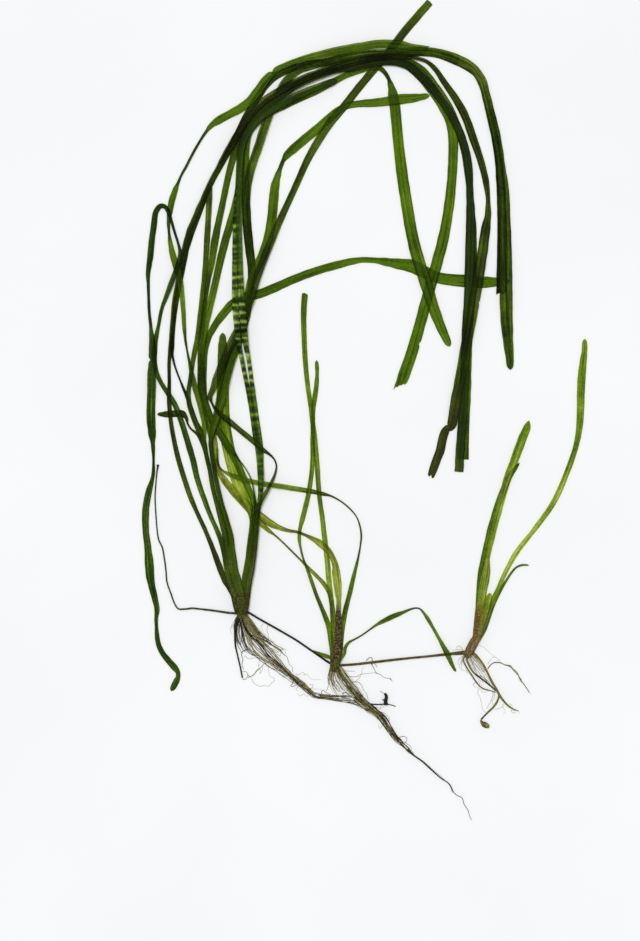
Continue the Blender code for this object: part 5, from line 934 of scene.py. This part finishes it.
def round_stem(node, finish, route, tones=((0, 0.5),), roundness=0.8, sides=10):
    """A stem along its route, a little flattened, on the height at which its solid lies. tones are
    (share of the length, tone)."""
    line = smooth_line(route)
    rows = len(line)
    height = running_mean(solid_heights(solid_tree(node), line[:, :2]), 2)
    step = np.gradient(line[:, :2], axis=0)
    step /= np.linalg.norm(step, axis=1)[:, None]
    square = np.stack([-step[:, 1], step[:, 0]], axis=1)
    deselect_everything()
    bpy.ops.mesh.primitive_cylinder_add(vertices=sides, radius=0.5, depth=1.0, end_fill_type="NGON")
    stem = bpy.context.object
    stem.name = node + "_stem"
    bpy.ops.object.mode_set(mode="EDIT")
    bpy.ops.mesh.select_mode(type="EDGE")
    bpy.ops.mesh.select_all(action="DESELECT")
    bpy.ops.object.mode_set(mode="OBJECT")
    for edge in stem.data.edges:
        low, high = (stem.data.vertices[index].co.z for index in edge.vertices)
        edge.select = abs(low - high) > 0.5
    bpy.ops.object.mode_set(mode="EDIT")
    bpy.ops.mesh.subdivide(number_cuts=rows - 2)
    bpy.ops.mesh.select_mode(type="VERT")
    bpy.ops.object.mode_set(mode="OBJECT")
    seed = float(len(node))
    spots, values = zip(*tones)
    tone = stem.data.attributes.new("tone", "FLOAT", "POINT").data
    for number, point in enumerate(stem.data.vertices):
        index = round((point.co.z + 0.5) * (rows - 1))
        tone[number].value = np.interp(index / (rows - 1), spots, values)
        x, y, wide = line[index]
        tall = min(wide * roundness, 1.8)
        uneven = 1 + 0.09 * noise.noise(Vector((index * 0.35, seed, math.atan2(point.co.y, point.co.x))))
        across = point.co.x * wide * uneven
        middle = height[index] / MM - tall / 2
        up = max(middle + point.co.y * tall * uneven, 0.01)
        point.co = Vector((x + square[index][0] * across, y + square[index][1] * across, up)) * MM
    deselect_everything()
    stem.select_set(True)
    bpy.context.view_layer.objects.active = stem
    bpy.ops.object.mode_set(mode="EDIT")
    bpy.ops.mesh.select_all(action="SELECT")
    bpy.ops.mesh.normals_make_consistent(inside=False)
    bpy.ops.object.mode_set(mode="OBJECT")
    bpy.ops.object.shade_smooth_by_angle(angle=1.0)
    stem.data.materials.append(finish)
    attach(stem, "root")
    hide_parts(node)
    return stem


dark_runner = fibrous_finish("dark_runner", tint(14, 10, 6), tint(26, 22, 14), tint(58, 48, 32), 0.3)
olive_runner = fibrous_finish("olive_runner", tint(44, 36, 10), tint(78, 68, 24), tint(112, 102, 48), 0.3)
stalk_finish = fibrous_finish("flower_stalk", tint(26, 32, 12), tint(44, 54, 26), tint(92, 98, 50), 0.3)
STEMS = {
    "runner_mother_to_middle": ("runner_brown", dark_runner, (
        (0.3, 1, 1.2), (3.2, -0.5, 1.2), (7.7, -3.2, 1.1), (13.9, -6.7, 1.1), (20.6, -10.5, 1.1),
        (27.2, -14.4, 1.1), (33.4, -18.6, 1.1), (39.6, -22.9, 1.1), (43.7, -25.7, 1.2),
        (46.8, -27.4, 1.3),
    )),
    "runner_middle_to_young": ("olive_leaf", olive_runner, (
        (47.3, -27.7, 1.3), (50.3, -27.4, 1.3), (57.6, -26.9, 1.3), (66.3, -25.9, 1.3),
        (75.6, -24.8, 1.3), (84.8, -23.8, 1.2), (94.1, -22.9, 1.2), (107.4, -21.5, 1.5),
        (110.5, -21.2, 2), (113.4, -21, 2.2), (115.4, -20.8, 1.9),
    )),
    "flower_stalk": ("olive_leaf", stalk_finish, (
        (-0.8, -0.7, 1.2), (-3.5, -0.7, 1.2), (-7.7, -0.4, 1.2), (-12.3, 0.3, 1.1), (-17.5, 1, 1.1),
        (-22.1, 1.5, 1), (-26.2, 1.9, 1), (-29.8, 1.5, 0.9), (-33.4, 1.7, 0.9), (-35.2, 4.4, 0.8),
        (-37, 9.3, 0.8), (-39.1, 15.4, 0.8), (-39.6, 21.1, 0.8), (-40.5, 27.8, 0.8), (-41.6, 33.4, 0.8),
        (-43.3, 37, 0.8), (-44.2, 42.7, 0.7), (-44.8, 50.4, 0.7), (-45.2, 59.6, 0.7), (-44.7, 67.3, 0.7),
        (-44.1, 73, 0.8), (-43.7, 75.8, 1.3),
    )),
}
for node, (slot, finish, route) in STEMS.items():
    round_stem(node, finish, route)

# Roots: fine soft strands that fan out below each crown and dried together into tails, with single
# hairs straying round them.
def strand_finish(name, looks):
    """Root tissue, from dark at tone 0 to pale at 1, streaked along the strands."""
    finish = bpy.data.materials.new(name)
    finish.use_nodes = True
    tree = finish.node_tree
    where = add_node(tree, "ShaderNodeTexCoord").outputs["Object"]
    tone = add_node(tree, "ShaderNodeAttribute", attribute_name="tone").outputs["Fac"]
    spots = add_node(tree, "ShaderNodeTexNoise", {"Vector": where, "Scale": 520.0, "Detail": 3.0})
    uneven = add_node(
        tree, "ShaderNodeMath", {0: spots.outputs["Fac"], 1: 0.9, 2: -0.45}, operation="MULTIPLY_ADD"
    )
    shade = add_node(tree, "ShaderNodeMath", {0: tone, 1: uneven.outputs[0]}, operation="ADD")
    shader = tree.nodes["Principled BSDF"]
    tree.links.new(colour_ramp(tree, shade.outputs[0], looks), shader.inputs["Base Color"])
    shader.inputs["Roughness"].default_value = 0.7
    shader.inputs["Specular IOR Level"].default_value = 0.2
    return finish


root_finish = strand_finish("root_strands", (
    (0.0, tint(26, 22, 8)), (0.25, tint(62, 56, 24)), (0.5, tint(112, 104, 56)),
    (0.75, tint(150, 140, 90)), (1.0, tint(186, 178, 138))))
golden_root = strand_finish("golden_root", (
    (0.0, tint(30, 26, 8)), (0.3, tint(92, 92, 32)), (0.6, tint(118, 112, 44)),
    (0.8, tint(124, 92, 28)), (1.0, tint(110, 74, 24))))
SINGLE_ROOTS = {
    "mother_root_left": ("runner_brown", root_finish, ((0, 0.15), (1, 0.1)), (
        (-1.5, -0.3, 1.3), (-3.2, -3.6, 1.3), (-4, -7.2, 1.3), (-4.1, -11.3, 1.1), (-3.9, -17, 0.9),
        (-2.6, -23.1, 0.8), (-1.3, -28.8, 0.8), (-0.3, -33.9, 0.8),
    )),
    "middle_root_tendril": ("runner_brown", root_finish, ((0, 0.1), (1, 0.25)), (
        (64.8, -47.3, 0.7), (69.4, -47.6, 0.7), (73.5, -47.4, 0.6), (76.1, -47.8, 0.5),
        (78.4, -48.6, 0.5),
    )),
    "young_root_far_left": ("root_tan", root_finish, ((0, 0.5), (0.6, 0.4), (1, 0.4)), (
        (114.7, -21.8, 0.7), (113.3, -24.4, 0.7), (115.2, -28.8, 0.7), (117.7, -32.6, 0.7),
        (120, -36.2, 0.7), (122.9, -39.1, 0.6), (127, -40.4, 0.5), (129.8, -41.4, 0.5),
    )),
    "young_root_left": ("root_tan", golden_root, ((0, 0.5), (0.4, 0.5), (0.5, 0.05), (1, 0.15)), (
        (115.3, -21.8, 1), (115.2, -24.7, 1), (116.5, -28, 1), (118.8, -31.4, 0.9), (121.8, -33.7, 0.8),
        (125.4, -36.5, 0.8), (128.5, -39.1, 0.8), (130.8, -41.1, 0.8),
    )),
    "young_root_thick": ("root_tan", golden_root, ((0, 0.8), (0.25, 0.8), (0.45, 0.45), (1, 0.4)), (
        (116.4, -19.8, 1.2), (119.2, -21.7, 1.3), (121.8, -24.7, 1.1), (124.2, -28.3, 1.1),
        (126.2, -32.4, 1.1), (128.3, -36.5, 1.1), (130.6, -40.4, 1.2), (132.1, -43.2, 1.2),
        (134.2, -46, 1), (136.8, -48.6, 0.9), (139.3, -50.1, 0.6), (141.6, -50.9, 0.4),
    )),
    "young_root_branch": ("root_tan", golden_root, ((0, 0.35), (0.65, 0.4), (0.9, 0), (1, 0)), (
        (131.7, -42.4, 1), (131.3, -44.4, 0.9), (130.5, -46.3, 1), (128.8, -48.8, 1),
        (126.2, -51.3, 0.9), (123.9, -53.6, 0.8), (122.4, -55.3, 0.8),
    )),
    "young_root_bud": ("crown_brown", crown_finish, ((0, 0.5),), (
        (122.2, -55.5, 0.8), (122.8, -56.8, 1.3), (123.7, -57.6, 2.1), (125.2, -58.4, 2.2),
        (126.6, -58.9, 1.3),
    )),
    "young_root_fine": ("root_tan", root_finish, ((0, 0.5), (1, 0.5)), (
        (125.9, -29.2, 0.5), (127, -27.5, 0.5), (129, -26.1, 0.5), (132.1, -26.1, 0.5),
        (134.7, -27.2, 0.5), (137.3, -27.9, 0.7), (139.3, -30.1, 0.6), (141.4, -32.4, 0.5),
        (142.9, -35.2, 0.5), (145, -38, 0.4), (147.3, -41.5, 0.4),
    )),
}
BUD_FULLNESS = 1.3
for node, (slot, finish, tones, route) in SINGLE_ROOTS.items():
    if node == "young_root_bud":
        route = (route[0], *((x, y, wide * BUD_FULLNESS) for x, y, wide in route[1:]))
    round_stem(node, finish, route, tones, sides=8)


def spread(edge, rows):
    """Evenly spaced points along a smooth curve through one edge of a fan."""
    line = smooth_line([(x, y, 0.0) for x, y in edge])[:, :2]
    far = np.concatenate([[0], np.cumsum(np.linalg.norm(np.diff(line, axis=0), axis=1))])
    spots = np.linspace(0, far[-1], rows)
    return np.stack([np.interp(spots, far, line[:, 0]), np.interp(spots, far, line[:, 1])], axis=1)


def fan(count, radius, tone, tall, shortest, seed, left, right):
    """Strands between two edges, each wandering a little, ending at or before their far end. tall
    is how thick the fan lies at its start and end, in mm."""
    rng = random.Random(seed)
    rows = int(max(np.linalg.norm(np.diff(np.array(edge), axis=0), axis=1).sum() for edge in (left, right)))
    left, right = spread(left, rows), spread(right, rows)
    strands = []
    for number in range(count):
        own = (number + rng.random()) / count
        drift = rng.uniform(0, 99)
        level = rng.random()
        thick = radius * rng.uniform(0.65, 1.35)
        last = max(4, int(rows * rng.uniform(shortest, 1.12)))
        points = []
        for index in range(min(last, rows)):
            share = index / (rows - 1)
            across = own + 0.35 * noise.noise(Vector((index * 0.07, drift, 0.0)))
            x, y = left[index] + (right[index] - left[index]) * min(max(across, 0.0), 1.0)
            stray = 0.12 + 0.4 * share
            x += stray * noise.noise(Vector((index * 0.45, drift, 5.0)))
            y += stray * noise.noise(Vector((index * 0.45, drift, 9.0)))
            z = thick + level * (tall[0] + (tall[1] - tall[0]) * share)
            taper = min(1.0, 0.4 + (last - index) * 0.06)
            points.append((x, y, z, thick * taper))
        strands.append((tone + rng.uniform(-0.3, 0.3), points))
    return strands


def traced(tone, radius, lift, *points):
    """A single strand through its own points, thinner to its tip. lift is how far it starts above
    the floor, in mm."""
    line = smooth_line([(x, y, radius) for x, y in points], 0.8)
    last = len(line) - 1
    return tone, [
        (x, y, radius + lift * (1 - 0.8 * index / last), radius * (1.0 - 0.45 * index / last))
        for index, (x, y, _) in enumerate(line)
    ]


def root_strands(name, finish, strands, replaced=()):
    """Tapering round strands, each its tone and its points as x, y, z and radius in mm, in one mesh."""
    bundle = bpy.data.curves.new(name, "CURVE")
    bundle.dimensions = "3D"
    bundle.bevel_depth = MM
    bundle.bevel_resolution = 1
    bundle.use_fill_caps = True
    for _, points in strands:
        spline = bundle.splines.new("POLY")
        spline.points.add(len(points) - 1)
        for point, (x, y, z, radius) in zip(spline.points, points):
            point.co = (x * MM, y * MM, z * MM, 1.0)
            point.radius = radius
    piece = bpy.data.objects.new(name, bundle)
    bpy.context.collection.objects.link(piece)
    deselect_everything()
    piece.select_set(True)
    bpy.context.view_layer.objects.active = piece
    bpy.ops.object.convert(target="MESH")
    piece = bpy.context.object
    lengths = np.array([len(points) for _, points in strands])
    ring = len(piece.data.vertices) // (lengths + 2).sum()
    tones = [tone for tone, _ in strands]
    # the mesh has the caps first, from the last strand to the first, then the strands in order
    tone = np.concatenate([np.repeat(tones[::-1], 2 * ring), np.repeat(tones, lengths * ring)])
    piece.data.attributes.new("tone", "FLOAT", "POINT").data.foreach_set("value", tone)
    bpy.ops.object.shade_smooth()
    piece.data.materials.append(finish)
    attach(piece, "root")
    if replaced:
        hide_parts(*replaced)
    return piece


# count, radius, tone, thickness at the start and end, shortest share, seed and the two edges of each fan
FANS = {
    "mother_roots": (
        (14, 0.14, 0.6, (2.2, 0.8), 0.55, 1,
         ((0, -1.5), (2.1, -8.2), (6.7, -14.4), (12.3, -18), (17.5, -21.1)),
         ((2.3, -1.3), (5.4, -5.1), (10.3, -11.3), (15.9, -15.9), (21.6, -19.5))),
        (12, 0.14, 0.45, (2.2, 0.8), 0.75, 2,
         ((-1, -2.1), (2.1, -10.8), (7.7, -18), (12.9, -24.2), (18.5, -29.3), (24.2, -34.2),
          (30.3, -39.3), (36.5, -44)),
         ((1.3, -1.5), (6.7, -10.3), (12.9, -17.5), (18.5, -23.6), (24.2, -30.6), (30.8, -36),
          (35, -39.8), (38, -42.9))),
        (9, 0.13, 0.5, (2, 0.6), 0.5, 3,
         ((-2.1, -2.6), (0, -12.3), (2.1, -18.5), (6.7, -23.1), (11.8, -27.2), (17, -30.3),
          (21.6, -33.9), (26.7, -37.5)),
         ((0, -2.6), (3.6, -11.8), (7.2, -17.5), (10.8, -21.6), (14.9, -24.7), (19, -27.8),
          (23.6, -31.4), (28.8, -35.5))),
        (13, 0.15, 0.12, (2, 0.3), 0.35, 4,
         ((-2.6, -2.1), (-4.6, -6.2), (-5.1, -10.8), (-3.6, -16.5), (-1.5, -22.1)),
         ((0, -2.1), (0, -8.2), (1, -14.4), (3.6, -19.5), (6.7, -22.6))),
        (8, 0.12, 0.45, (1, 0.8), 0.8, 5,
         ((24.2, -34.2), (30.3, -39.3), (36, -44), (44.7, -45.2), (52.4, -46.8), (59.1, -48.3)),
         ((25.2, -30.8), (31.4, -36), (36, -40.9), (43.7, -42.7), (52.4, -43.2), (59.1, -45.2))),
        (10, 0.06, 0.6, (1.4, 0.3), 0.5, 6,
         ((-1.5, -2.6), (0, -14.4), (3.6, -22.6), (9.8, -28.8), (14.9, -32.9)),
         ((2.1, -2.1), (7.7, -8.2), (14.9, -14.9), (22.1, -20.6), (23.6, -26.7))),
    ),
    "middle_roots": (
        (17, 0.15, 0.62, (2.4, 1.4), 0.75, 11,
         ((47, -27.8), (49.9, -35), (54.5, -41.1), (58.6, -46.3), (62.7, -50.4), (67.9, -53.5),
          (71.5, -57.6)),
         ((50.1, -27.8), (54.5, -33.9), (58.6, -39.1), (62.7, -44.2), (68.4, -48.8), (73, -53),
          (76.1, -58.1))),
        (17, 0.17, 0.22, (2, 0.9), 0.75, 12,
         ((56.6, -45.8), (61.2, -49.6), (67.3, -53), (71.5, -57.1), (77.1, -64.3), (82, -69.4),
          (86.9, -73.8)),
         ((58.1, -41.1), (63.2, -45), (68.4, -49.1), (73, -53.5), (76.1, -58.6), (79.7, -64.3),
          (84.3, -69.1), (87.7, -72.7))),
        (9, 0.13, 0.6, (2, 0.6), 0.5, 13,
         ((45.2, -28.3), (43.7, -33.9), (44.2, -40.1), (45.2, -43.7)),
         ((47.8, -28.8), (46.8, -35), (49.9, -40.1), (53.5, -43.7))),
        (7, 0.13, 0.55, (2, 1), 0.7, 14,
         ((46.3, -28.8), (48.3, -35.5), (52.4, -40.6), (56.6, -44.7)),
         ((48.8, -28.8), (52.4, -35), (56, -40.1), (60.1, -44.7))),
        (5, 0.13, 0.35, (0.9, 1.2), 0.8, 15,
         ((39.6, -44.5), (47.3, -46), (55, -47), (61.2, -49.9)),
         ((39.6, -42.7), (47.3, -42.7), (55, -42.9), (62.2, -45.2))),
        (14, 0.06, 0.65, (1.5, 0.8), 0.5, 16,
         ((44.7, -28.3), (43.7, -37.5), (47.8, -43.2), (55, -47.3)),
         ((50.9, -28.3), (58.1, -37), (63.2, -43.7), (66.3, -48.3))),
    ),
    "young_roots": (
        (7, 0.08, 0.55, (1.6, 0.4), 0.6, 21,
         ((114.1, -22.1), (116.7, -28.8), (119.8, -33.9), (123.9, -38), (128, -40.6)),
         ((117.2, -22.1), (121.3, -27.2), (124.9, -32.4), (128, -36.5), (130.6, -40.1))),
        (5, 0.07, 0.6, (1.4, 0.3), 0.5, 22,
         ((117.2, -22.1), (120.8, -26.7), (123.4, -31.4)),
         ((118.2, -21.1), (122.9, -25.2), (126, -30.3))),
        (9, 0.06, 0.6, (1.2, 0.2), 0.5, 23,
         ((113.6, -22.1), (110.8, -24.2), (110.5, -28.8)),
         ((116.2, -22.1), (114.6, -26.7), (115.7, -31.9))),
        (8, 0.06, 0.6, (1.2, 0.2), 0.5, 25,
         ((115.2, -22.6), (118.8, -28.8), (121.3, -34.4)),
         ((119.3, -22.6), (124.9, -28.8), (126, -36))),
        (6, 0.06, 0.55, (0.3, 0.3), 0.5, 24,
         ((120.3, -36), (121.8, -40.1), (126, -41.1)),
         ((123.9, -33.9), (126.5, -37), (129.6, -40.6))),
    ),
}
# tone, radius, lift and points of each single strand
TRACED = {
    "mother_roots": (
        (0.08, 0.28, 1.8, (-0.5, -2.6), (1, -6.7), (3.1, -10.8), (7.5, -13.1), (9.8, -13.9),
         (13.1, -15.4), (15.4, -17.2), (18, -18.5), (19.5, -20.3), (21.6, -22.4)),
        (0.03, 0.33, 1.8, (-0.5, -4.1), (2.1, -10.3), (5.7, -13.6), (9.8, -17.7), (12.6, -21.6),
         (15.4, -24.2), (19, -27), (22.1, -30.3), (25.2, -33.4), (28, -36.5), (30.3, -38),
         (33.4, -40.6), (36.5, -43.2), (39.6, -44.2), (44.7, -45), (50.9, -45.8)),
        (0.6, 0.18, 1.2, (1.8, -1.5), (4.6, -4.4), (7.7, -9), (10.8, -12.1), (13.4, -14.4), (17, -17),
         (21.1, -19)),
        (0.5, 0.17, 1.4, (1.5, -2.1), (4.1, -5.7), (6.7, -9.8), (9.8, -12.9), (12.3, -15.4),
         (15.4, -17.5), (18.5, -19.5), (20.6, -21.1)),
        (0.4, 0.11, 0.3, (21.7, -22.4), (22.6, -23.1), (23.1, -24.7), (23.9, -27), (25.4, -28.5),
         (25.5, -30.8)),
        (0.6, 0.07, 0.3, (20.6, -18.8), (22, -19.5), (21.6, -21.6)),
        (0.5, 0.07, 0.3, (17.5, -19), (19.5, -20), (19, -22.6), (17.2, -21.1), (18.5, -19.8)),
        (0.22, 0.2, 1.2, (-1.8, -4.1), (-0.8, -10.3), (-0.4, -15.4), (1, -18.5), (2.6, -20.6),
         (5.1, -22.1), (7.7, -23.4), (10.8, -25.2), (13.4, -26.2), (15.9, -26.7)),
        (0.22, 0.17, 0.8, (14.9, -26), (17, -29.3), (19.5, -30.8), (22.6, -32.9), (25.7, -36)),
        (0.1, 0.17, 0.6, (-0.5, -20.3), (1.3, -19.5), (3.3, -19.3), (4.6, -20.6), (6.2, -22.1),
         (7.7, -22.6)),
        (0.15, 0.15, 0.4, (-0.3, -20.3), (-0.8, -22.1), (0, -24.4), (-0.5, -26.2), (-0.3, -28.3),
         (0.3, -29.6)),
        (0.35, 0.13, 0.3, (-0.3, -34.4), (1, -34.7), (2.1, -33.7), (2.5, -32.1), (1.5, -30.7),
         (-0.3, -30.6)),
        (0.35, 0.15, 0.3, (2.3, -32.1), (3.3, -33.2), (5.9, -31.9), (7.2, -29.8), (9.3, -28.5),
         (10.8, -26.7), (12.6, -26)),
        (0.5, 0.09, 0.2, (2.6, -33.9), (4.6, -32.9), (6.7, -30.8), (8.7, -29.3)),
        (0.7, 0.08, 0.1, (4.4, -33.9), (5.1, -35.7), (6.9, -37.5), (8.7, -38.2), (10.8, -37.8),
         (13.4, -38.1), (14.7, -36.5), (16.2, -35.2), (15.7, -33.9), (13.9, -33.2), (13.3, -30.8),
         (12.9, -28.3)),
        (0.6, 0.08, 0.2, (0.5, -22.6), (1.7, -23.4), (3.6, -24.2), (5.1, -23.6), (7.7, -23.9)),
        (0.6, 0.07, 0.1, (8.5, -24.2), (8.2, -28.8), (9, -30.3), (8.4, -31.9), (10, -29.8), (10, -27.2)),
        (0.2, 0.14, 0.4, (26, -35.2), (25.4, -37), (24.4, -38), (26, -38.3), (27.5, -37.3),
         (27.8, -38.6)),
        (0.65, 0.08, 0.1, (12.9, -6.4), (12.3, -9.8), (13.1, -11.8), (13.1, -14.9)),
        (0.7, 0.06, 0.1, (10.3, -6.2), (9.3, -7.7), (10.5, -9.8)),
        (0.7, 0.07, 0.1, (27.2, -32.1), (29.3, -32.1), (30.6, -31), (31.6, -31.6), (31.1, -32.6),
         (32.9, -31.9), (33.9, -33.7), (36, -34.7), (40.1, -34.7)),
        (0.6, 0.07, 0.3, (34.2, -37.3), (35.7, -37.3), (36, -38.6), (34.4, -39.3), (37.5, -39.6),
         (40.1, -39.8)),
        (0.7, 0.06, 0.1, (28.3, -40.6), (27.2, -39.8), (28.8, -38)),
        (0.7, 0.06, 0.1, (28.3, -42.2), (29.3, -43.2), (31.4, -42.2), (32.9, -43.7), (33.9, -42.2)),
        (0.25, 0.12, 0.3, (40.1, -43.2), (40.9, -40.1), (42.7, -41.4), (44.7, -42.4), (48.8, -42.9)),
        (0.6, 0.07, 0.2, (-3.6, -2.6), (-4.9, -5.4), (-5.9, -7.2), (-6.4, -9.3), (-5.9, -11.3)),
        (0.6, 0.06, 0.2, (-4.1, -3.6), (-4.9, -6.7), (-6.4, -8.2)),
    ),
    "middle_roots": (
        (0.3, 0.26, 1.6, (49.6, -28.3), (53, -32.4), (55, -35.5), (57.1, -38.6), (59.6, -41.6),
         (61.7, -44.5), (64.8, -47.6), (69.4, -50.9), (73, -54), (76.1, -58.6), (79.7, -64.3),
         (83.8, -68.9), (87.4, -73)),
        (0.2, 0.24, 1.2, (47.8, -28.8), (50.4, -33.4), (53.5, -37.5), (56, -41.1), (59.1, -45.2),
         (62.2, -48.3), (66.3, -51.4), (70.4, -56), (74.5, -61.7), (78.1, -66.3), (82.3, -69.4),
         (86.9, -73.3)),
        (0.12, 0.44, 0.6, (84.8, -70.4), (87.4, -73.3), (91.5, -76.3), (96.7, -81), (101.3, -85.1),
         (106.2, -88.7), (108, -92.3)),
        (0.12, 0.2, 0.2, (106.9, -90), (108.2, -92.5), (110, -94.3), (112.6, -95.6), (113.6, -98.7),
         (115.7, -102), (116.5, -104.9), (117.5, -106.9)),
        (0.2, 0.13, 0.4, (88.4, -73.8), (93.1, -77.1), (98.2, -81.7), (102.8, -85.6), (106.4, -89.5),
         (107.7, -93.1)),
        (0.55, 0.14, 1.4, (45.2, -28.3), (45.2, -31.9), (45.8, -35), (48.3, -35.7), (50.9, -40.1)),
        (0.2, 0.14, 1, (45.5, -30.8), (45.2, -35), (46.3, -37), (48.1, -40.1)),
        (0.45, 0.14, 0.8, (44.7, -28.3), (44.2, -30.8), (43.7, -33.4), (44.2, -36), (43.7, -38.6),
         (42.9, -40.6)),
        (0.5, 0.1, 0.6, (46.3, -35.5), (48.8, -38.6), (49.9, -41.1)),
        (0.15, 0.15, 1.2, (50.9, -41.9), (52.4, -41.3), (54, -42.2), (56, -43.7), (59.1, -45.8),
         (62.2, -48.3)),
        (0.1, 0.2, 0.5, (38.6, -44), (44.2, -45), (49.9, -46), (56, -46.8), (61.2, -48.8)),
        (0.2, 0.17, 0.5, (38.6, -42.9), (43.7, -43.4), (48.8, -43.7), (53.5, -43.2), (58.1, -44.7),
         (62.7, -47.3)),
        (-0.1, 1.1, 0.3, (73.4, -47.8), (73.3, -45.2), (73.7, -43.7), (73.3, -42.4), (72.8, -41.8)),
        (0.02, 0.45, 0.3, (73.5, -46.3), (72.3, -45.3), (71.6, -45)),
        (0.2, 0.14, 0.3, (70.5, -40.8), (72, -41.5), (73.3, -42.4)),
        (0.2, 0.14, 0.5, (63.3, -25.1), (64.5, -23.8), (66, -23.4), (66.5, -25.2), (66.3, -27),
         (67.3, -29), (68.5, -31.3), (70.4, -32.1), (73, -33.9), (75.8, -34.4), (76.8, -36)),
        (0.2, 0.14, 0.3, (66.8, -25.7), (68.1, -27), (69.1, -28.5)),
        (0.02, 0.3, 0.3, (66.1, -26.7), (66.5, -27.2)),
        (0.02, 0.26, 0.2, (68.3, -31.3), (68.9, -31.5)),
        (0.02, 0.3, 0.2, (75.6, -34.3), (76.1, -34.8)),
        (0.45, 0.1, 0.2, (54.5, -33.2), (58.6, -33.2), (60.7, -32.1), (64.3, -31.6), (67.9, -31.2)),
        (0.6, 0.07, 0.2, (57.6, -36), (59.4, -34.4), (60.7, -32.4), (61.2, -29.8), (62.2, -28)),
        (0.4, 0.11, 0.6, (56, -36), (58.6, -36), (60.9, -37.5), (61.7, -39.6), (63.5, -42.2),
         (64.4, -45.5)),
        (0.5, 0.1, 0.6, (49.9, -29.8), (53.5, -30.3), (57.6, -30.6)),
        (0.6, 0.07, 0.2, (65.8, -48.1), (68.4, -49), (70.9, -49.4), (72, -48.8), (71.5, -47.6),
         (70.4, -50.1)),
        (0.5, 0.09, 0.3, (70.4, -51.4), (72.5, -51.9), (74, -53.2), (75.3, -55.8), (74, -56.6)),
        (0.6, 0.08, 0.2, (69.9, -55.5), (71.5, -58.4), (70.4, -59.9), (69.4, -58.1)),
        (0.3, 0.13, 0.5, (79.7, -64.8), (82.3, -63.9), (84.3, -64.9), (83.8, -66.8), (81.2, -67.9)),
        (0.5, 0.1, 0.3, (82.8, -66.8), (84.8, -68.1), (86.4, -69.4), (86.4, -71.5)),
    ),
    "young_roots": (
        (0.25, 0.14, 0.4, (121.6, -32.6), (123.9, -33.9), (126.2, -36), (127.8, -38.3), (129.6, -40.6)),
        (0.5, 0.1, 1.2, (117.2, -22.6), (119.3, -25.2), (121.8, -27.8), (123.4, -30.6),
         (124.4, -29.8), (122.9, -28.8)),
        (0.6, 0.07, 0.3, (125.7, -26.7), (127.5, -24.4), (129, -23.1), (131.1, -24.2), (132.6, -26)),
        (0.75, 0.06, 0.6, (119.8, -16.5), (123.9, -18.3), (127, -21.1), (130.1, -23.4)),
        (0.5, 0.09, 0.4, (113.1, -19.5), (110.8, -17.5), (109.9, -18), (110, -19)),
        (0.6, 0.07, 0.4, (114.1, -20), (111, -19.3), (107.4, -19.8)),
        (0.6, 0.07, 0.3, (113.4, -22.4), (112.1, -25.7), (111.3, -27.8), (112.1, -29.6),
         (113.9, -30.1), (116.2, -31.4), (118.2, -35)),
        (0.55, 0.08, 0.2, (119.3, -36.5), (118.2, -37.3), (119.3, -38.6), (121.1, -38.8)),
        (0.6, 0.07, 0.2, (121.3, -39.6), (120.6, -41.1), (121.8, -43.7), (122.4, -46.3),
         (122.9, -48.8), (123.9, -51.2), (125.4, -51.7)),
        (0.45, 0.1, 0.3, (128.5, -40.1), (128.3, -43.7), (127.2, -46.3), (126, -48.3), (125.3, -49.9)),
        (0.6, 0.07, 0.3, (129.3, -40.6), (129.3, -43.7), (128, -46.3), (129, -48.3)),
        (0.6, 0.07, 0.2, (121.8, -39.6), (123.9, -41.6), (126, -40.6), (128, -40.6)),
        (0.55, 0.07, 0.1, (129.6, -50.1), (132.1, -49.4), (133.7, -48.6), (133.6, -47),
         (133.8, -49.4), (134.7, -50.9), (133.9, -52.7)),
        (0.45, 0.1, 0.2, (136.8, -48.6), (138.8, -49.6), (137.8, -50.9), (138.8, -51.9), (140.3, -51.7)),
        (0.6, 0.07, 0.1, (138.8, -50.9), (141.1, -50.6), (142, -51.2), (141.7, -52.4)),
        (0.6, 0.07, 0.1, (137.3, -47.3), (138.8, -48.3)),
        (0.5, 0.07, 0.1, (141.9, -33.9), (142.9, -36), (144.5, -36.8)),
        (0.5, 0.08, 0.1, (143.9, -36.5), (145.7, -39.1), (147, -41.1), (147.8, -42.4)),
        (0.02, 0.18, 0.2, (136.5, -27.4), (137.5, -27.7), (138.5, -28.9)),
        (0.3, 0.12, 0.2, (138.8, -29.3), (141.1, -31.1), (141.9, -33.2), (143.4, -35)),
    ),
}
for node in ("mother_roots", "middle_roots"):
    strands = [strand for form in FANS[node] for strand in fan(*form)]
    strands += [traced(*form) for form in TRACED[node]]
    root_strands(node + "_strands", root_finish, strands, (node,))
strands = [strand for form in FANS["young_roots"] for strand in fan(*form)]
strands += [traced(*form) for form in TRACED["young_roots"]]
root_strands("young_root_hairs", root_finish, strands)
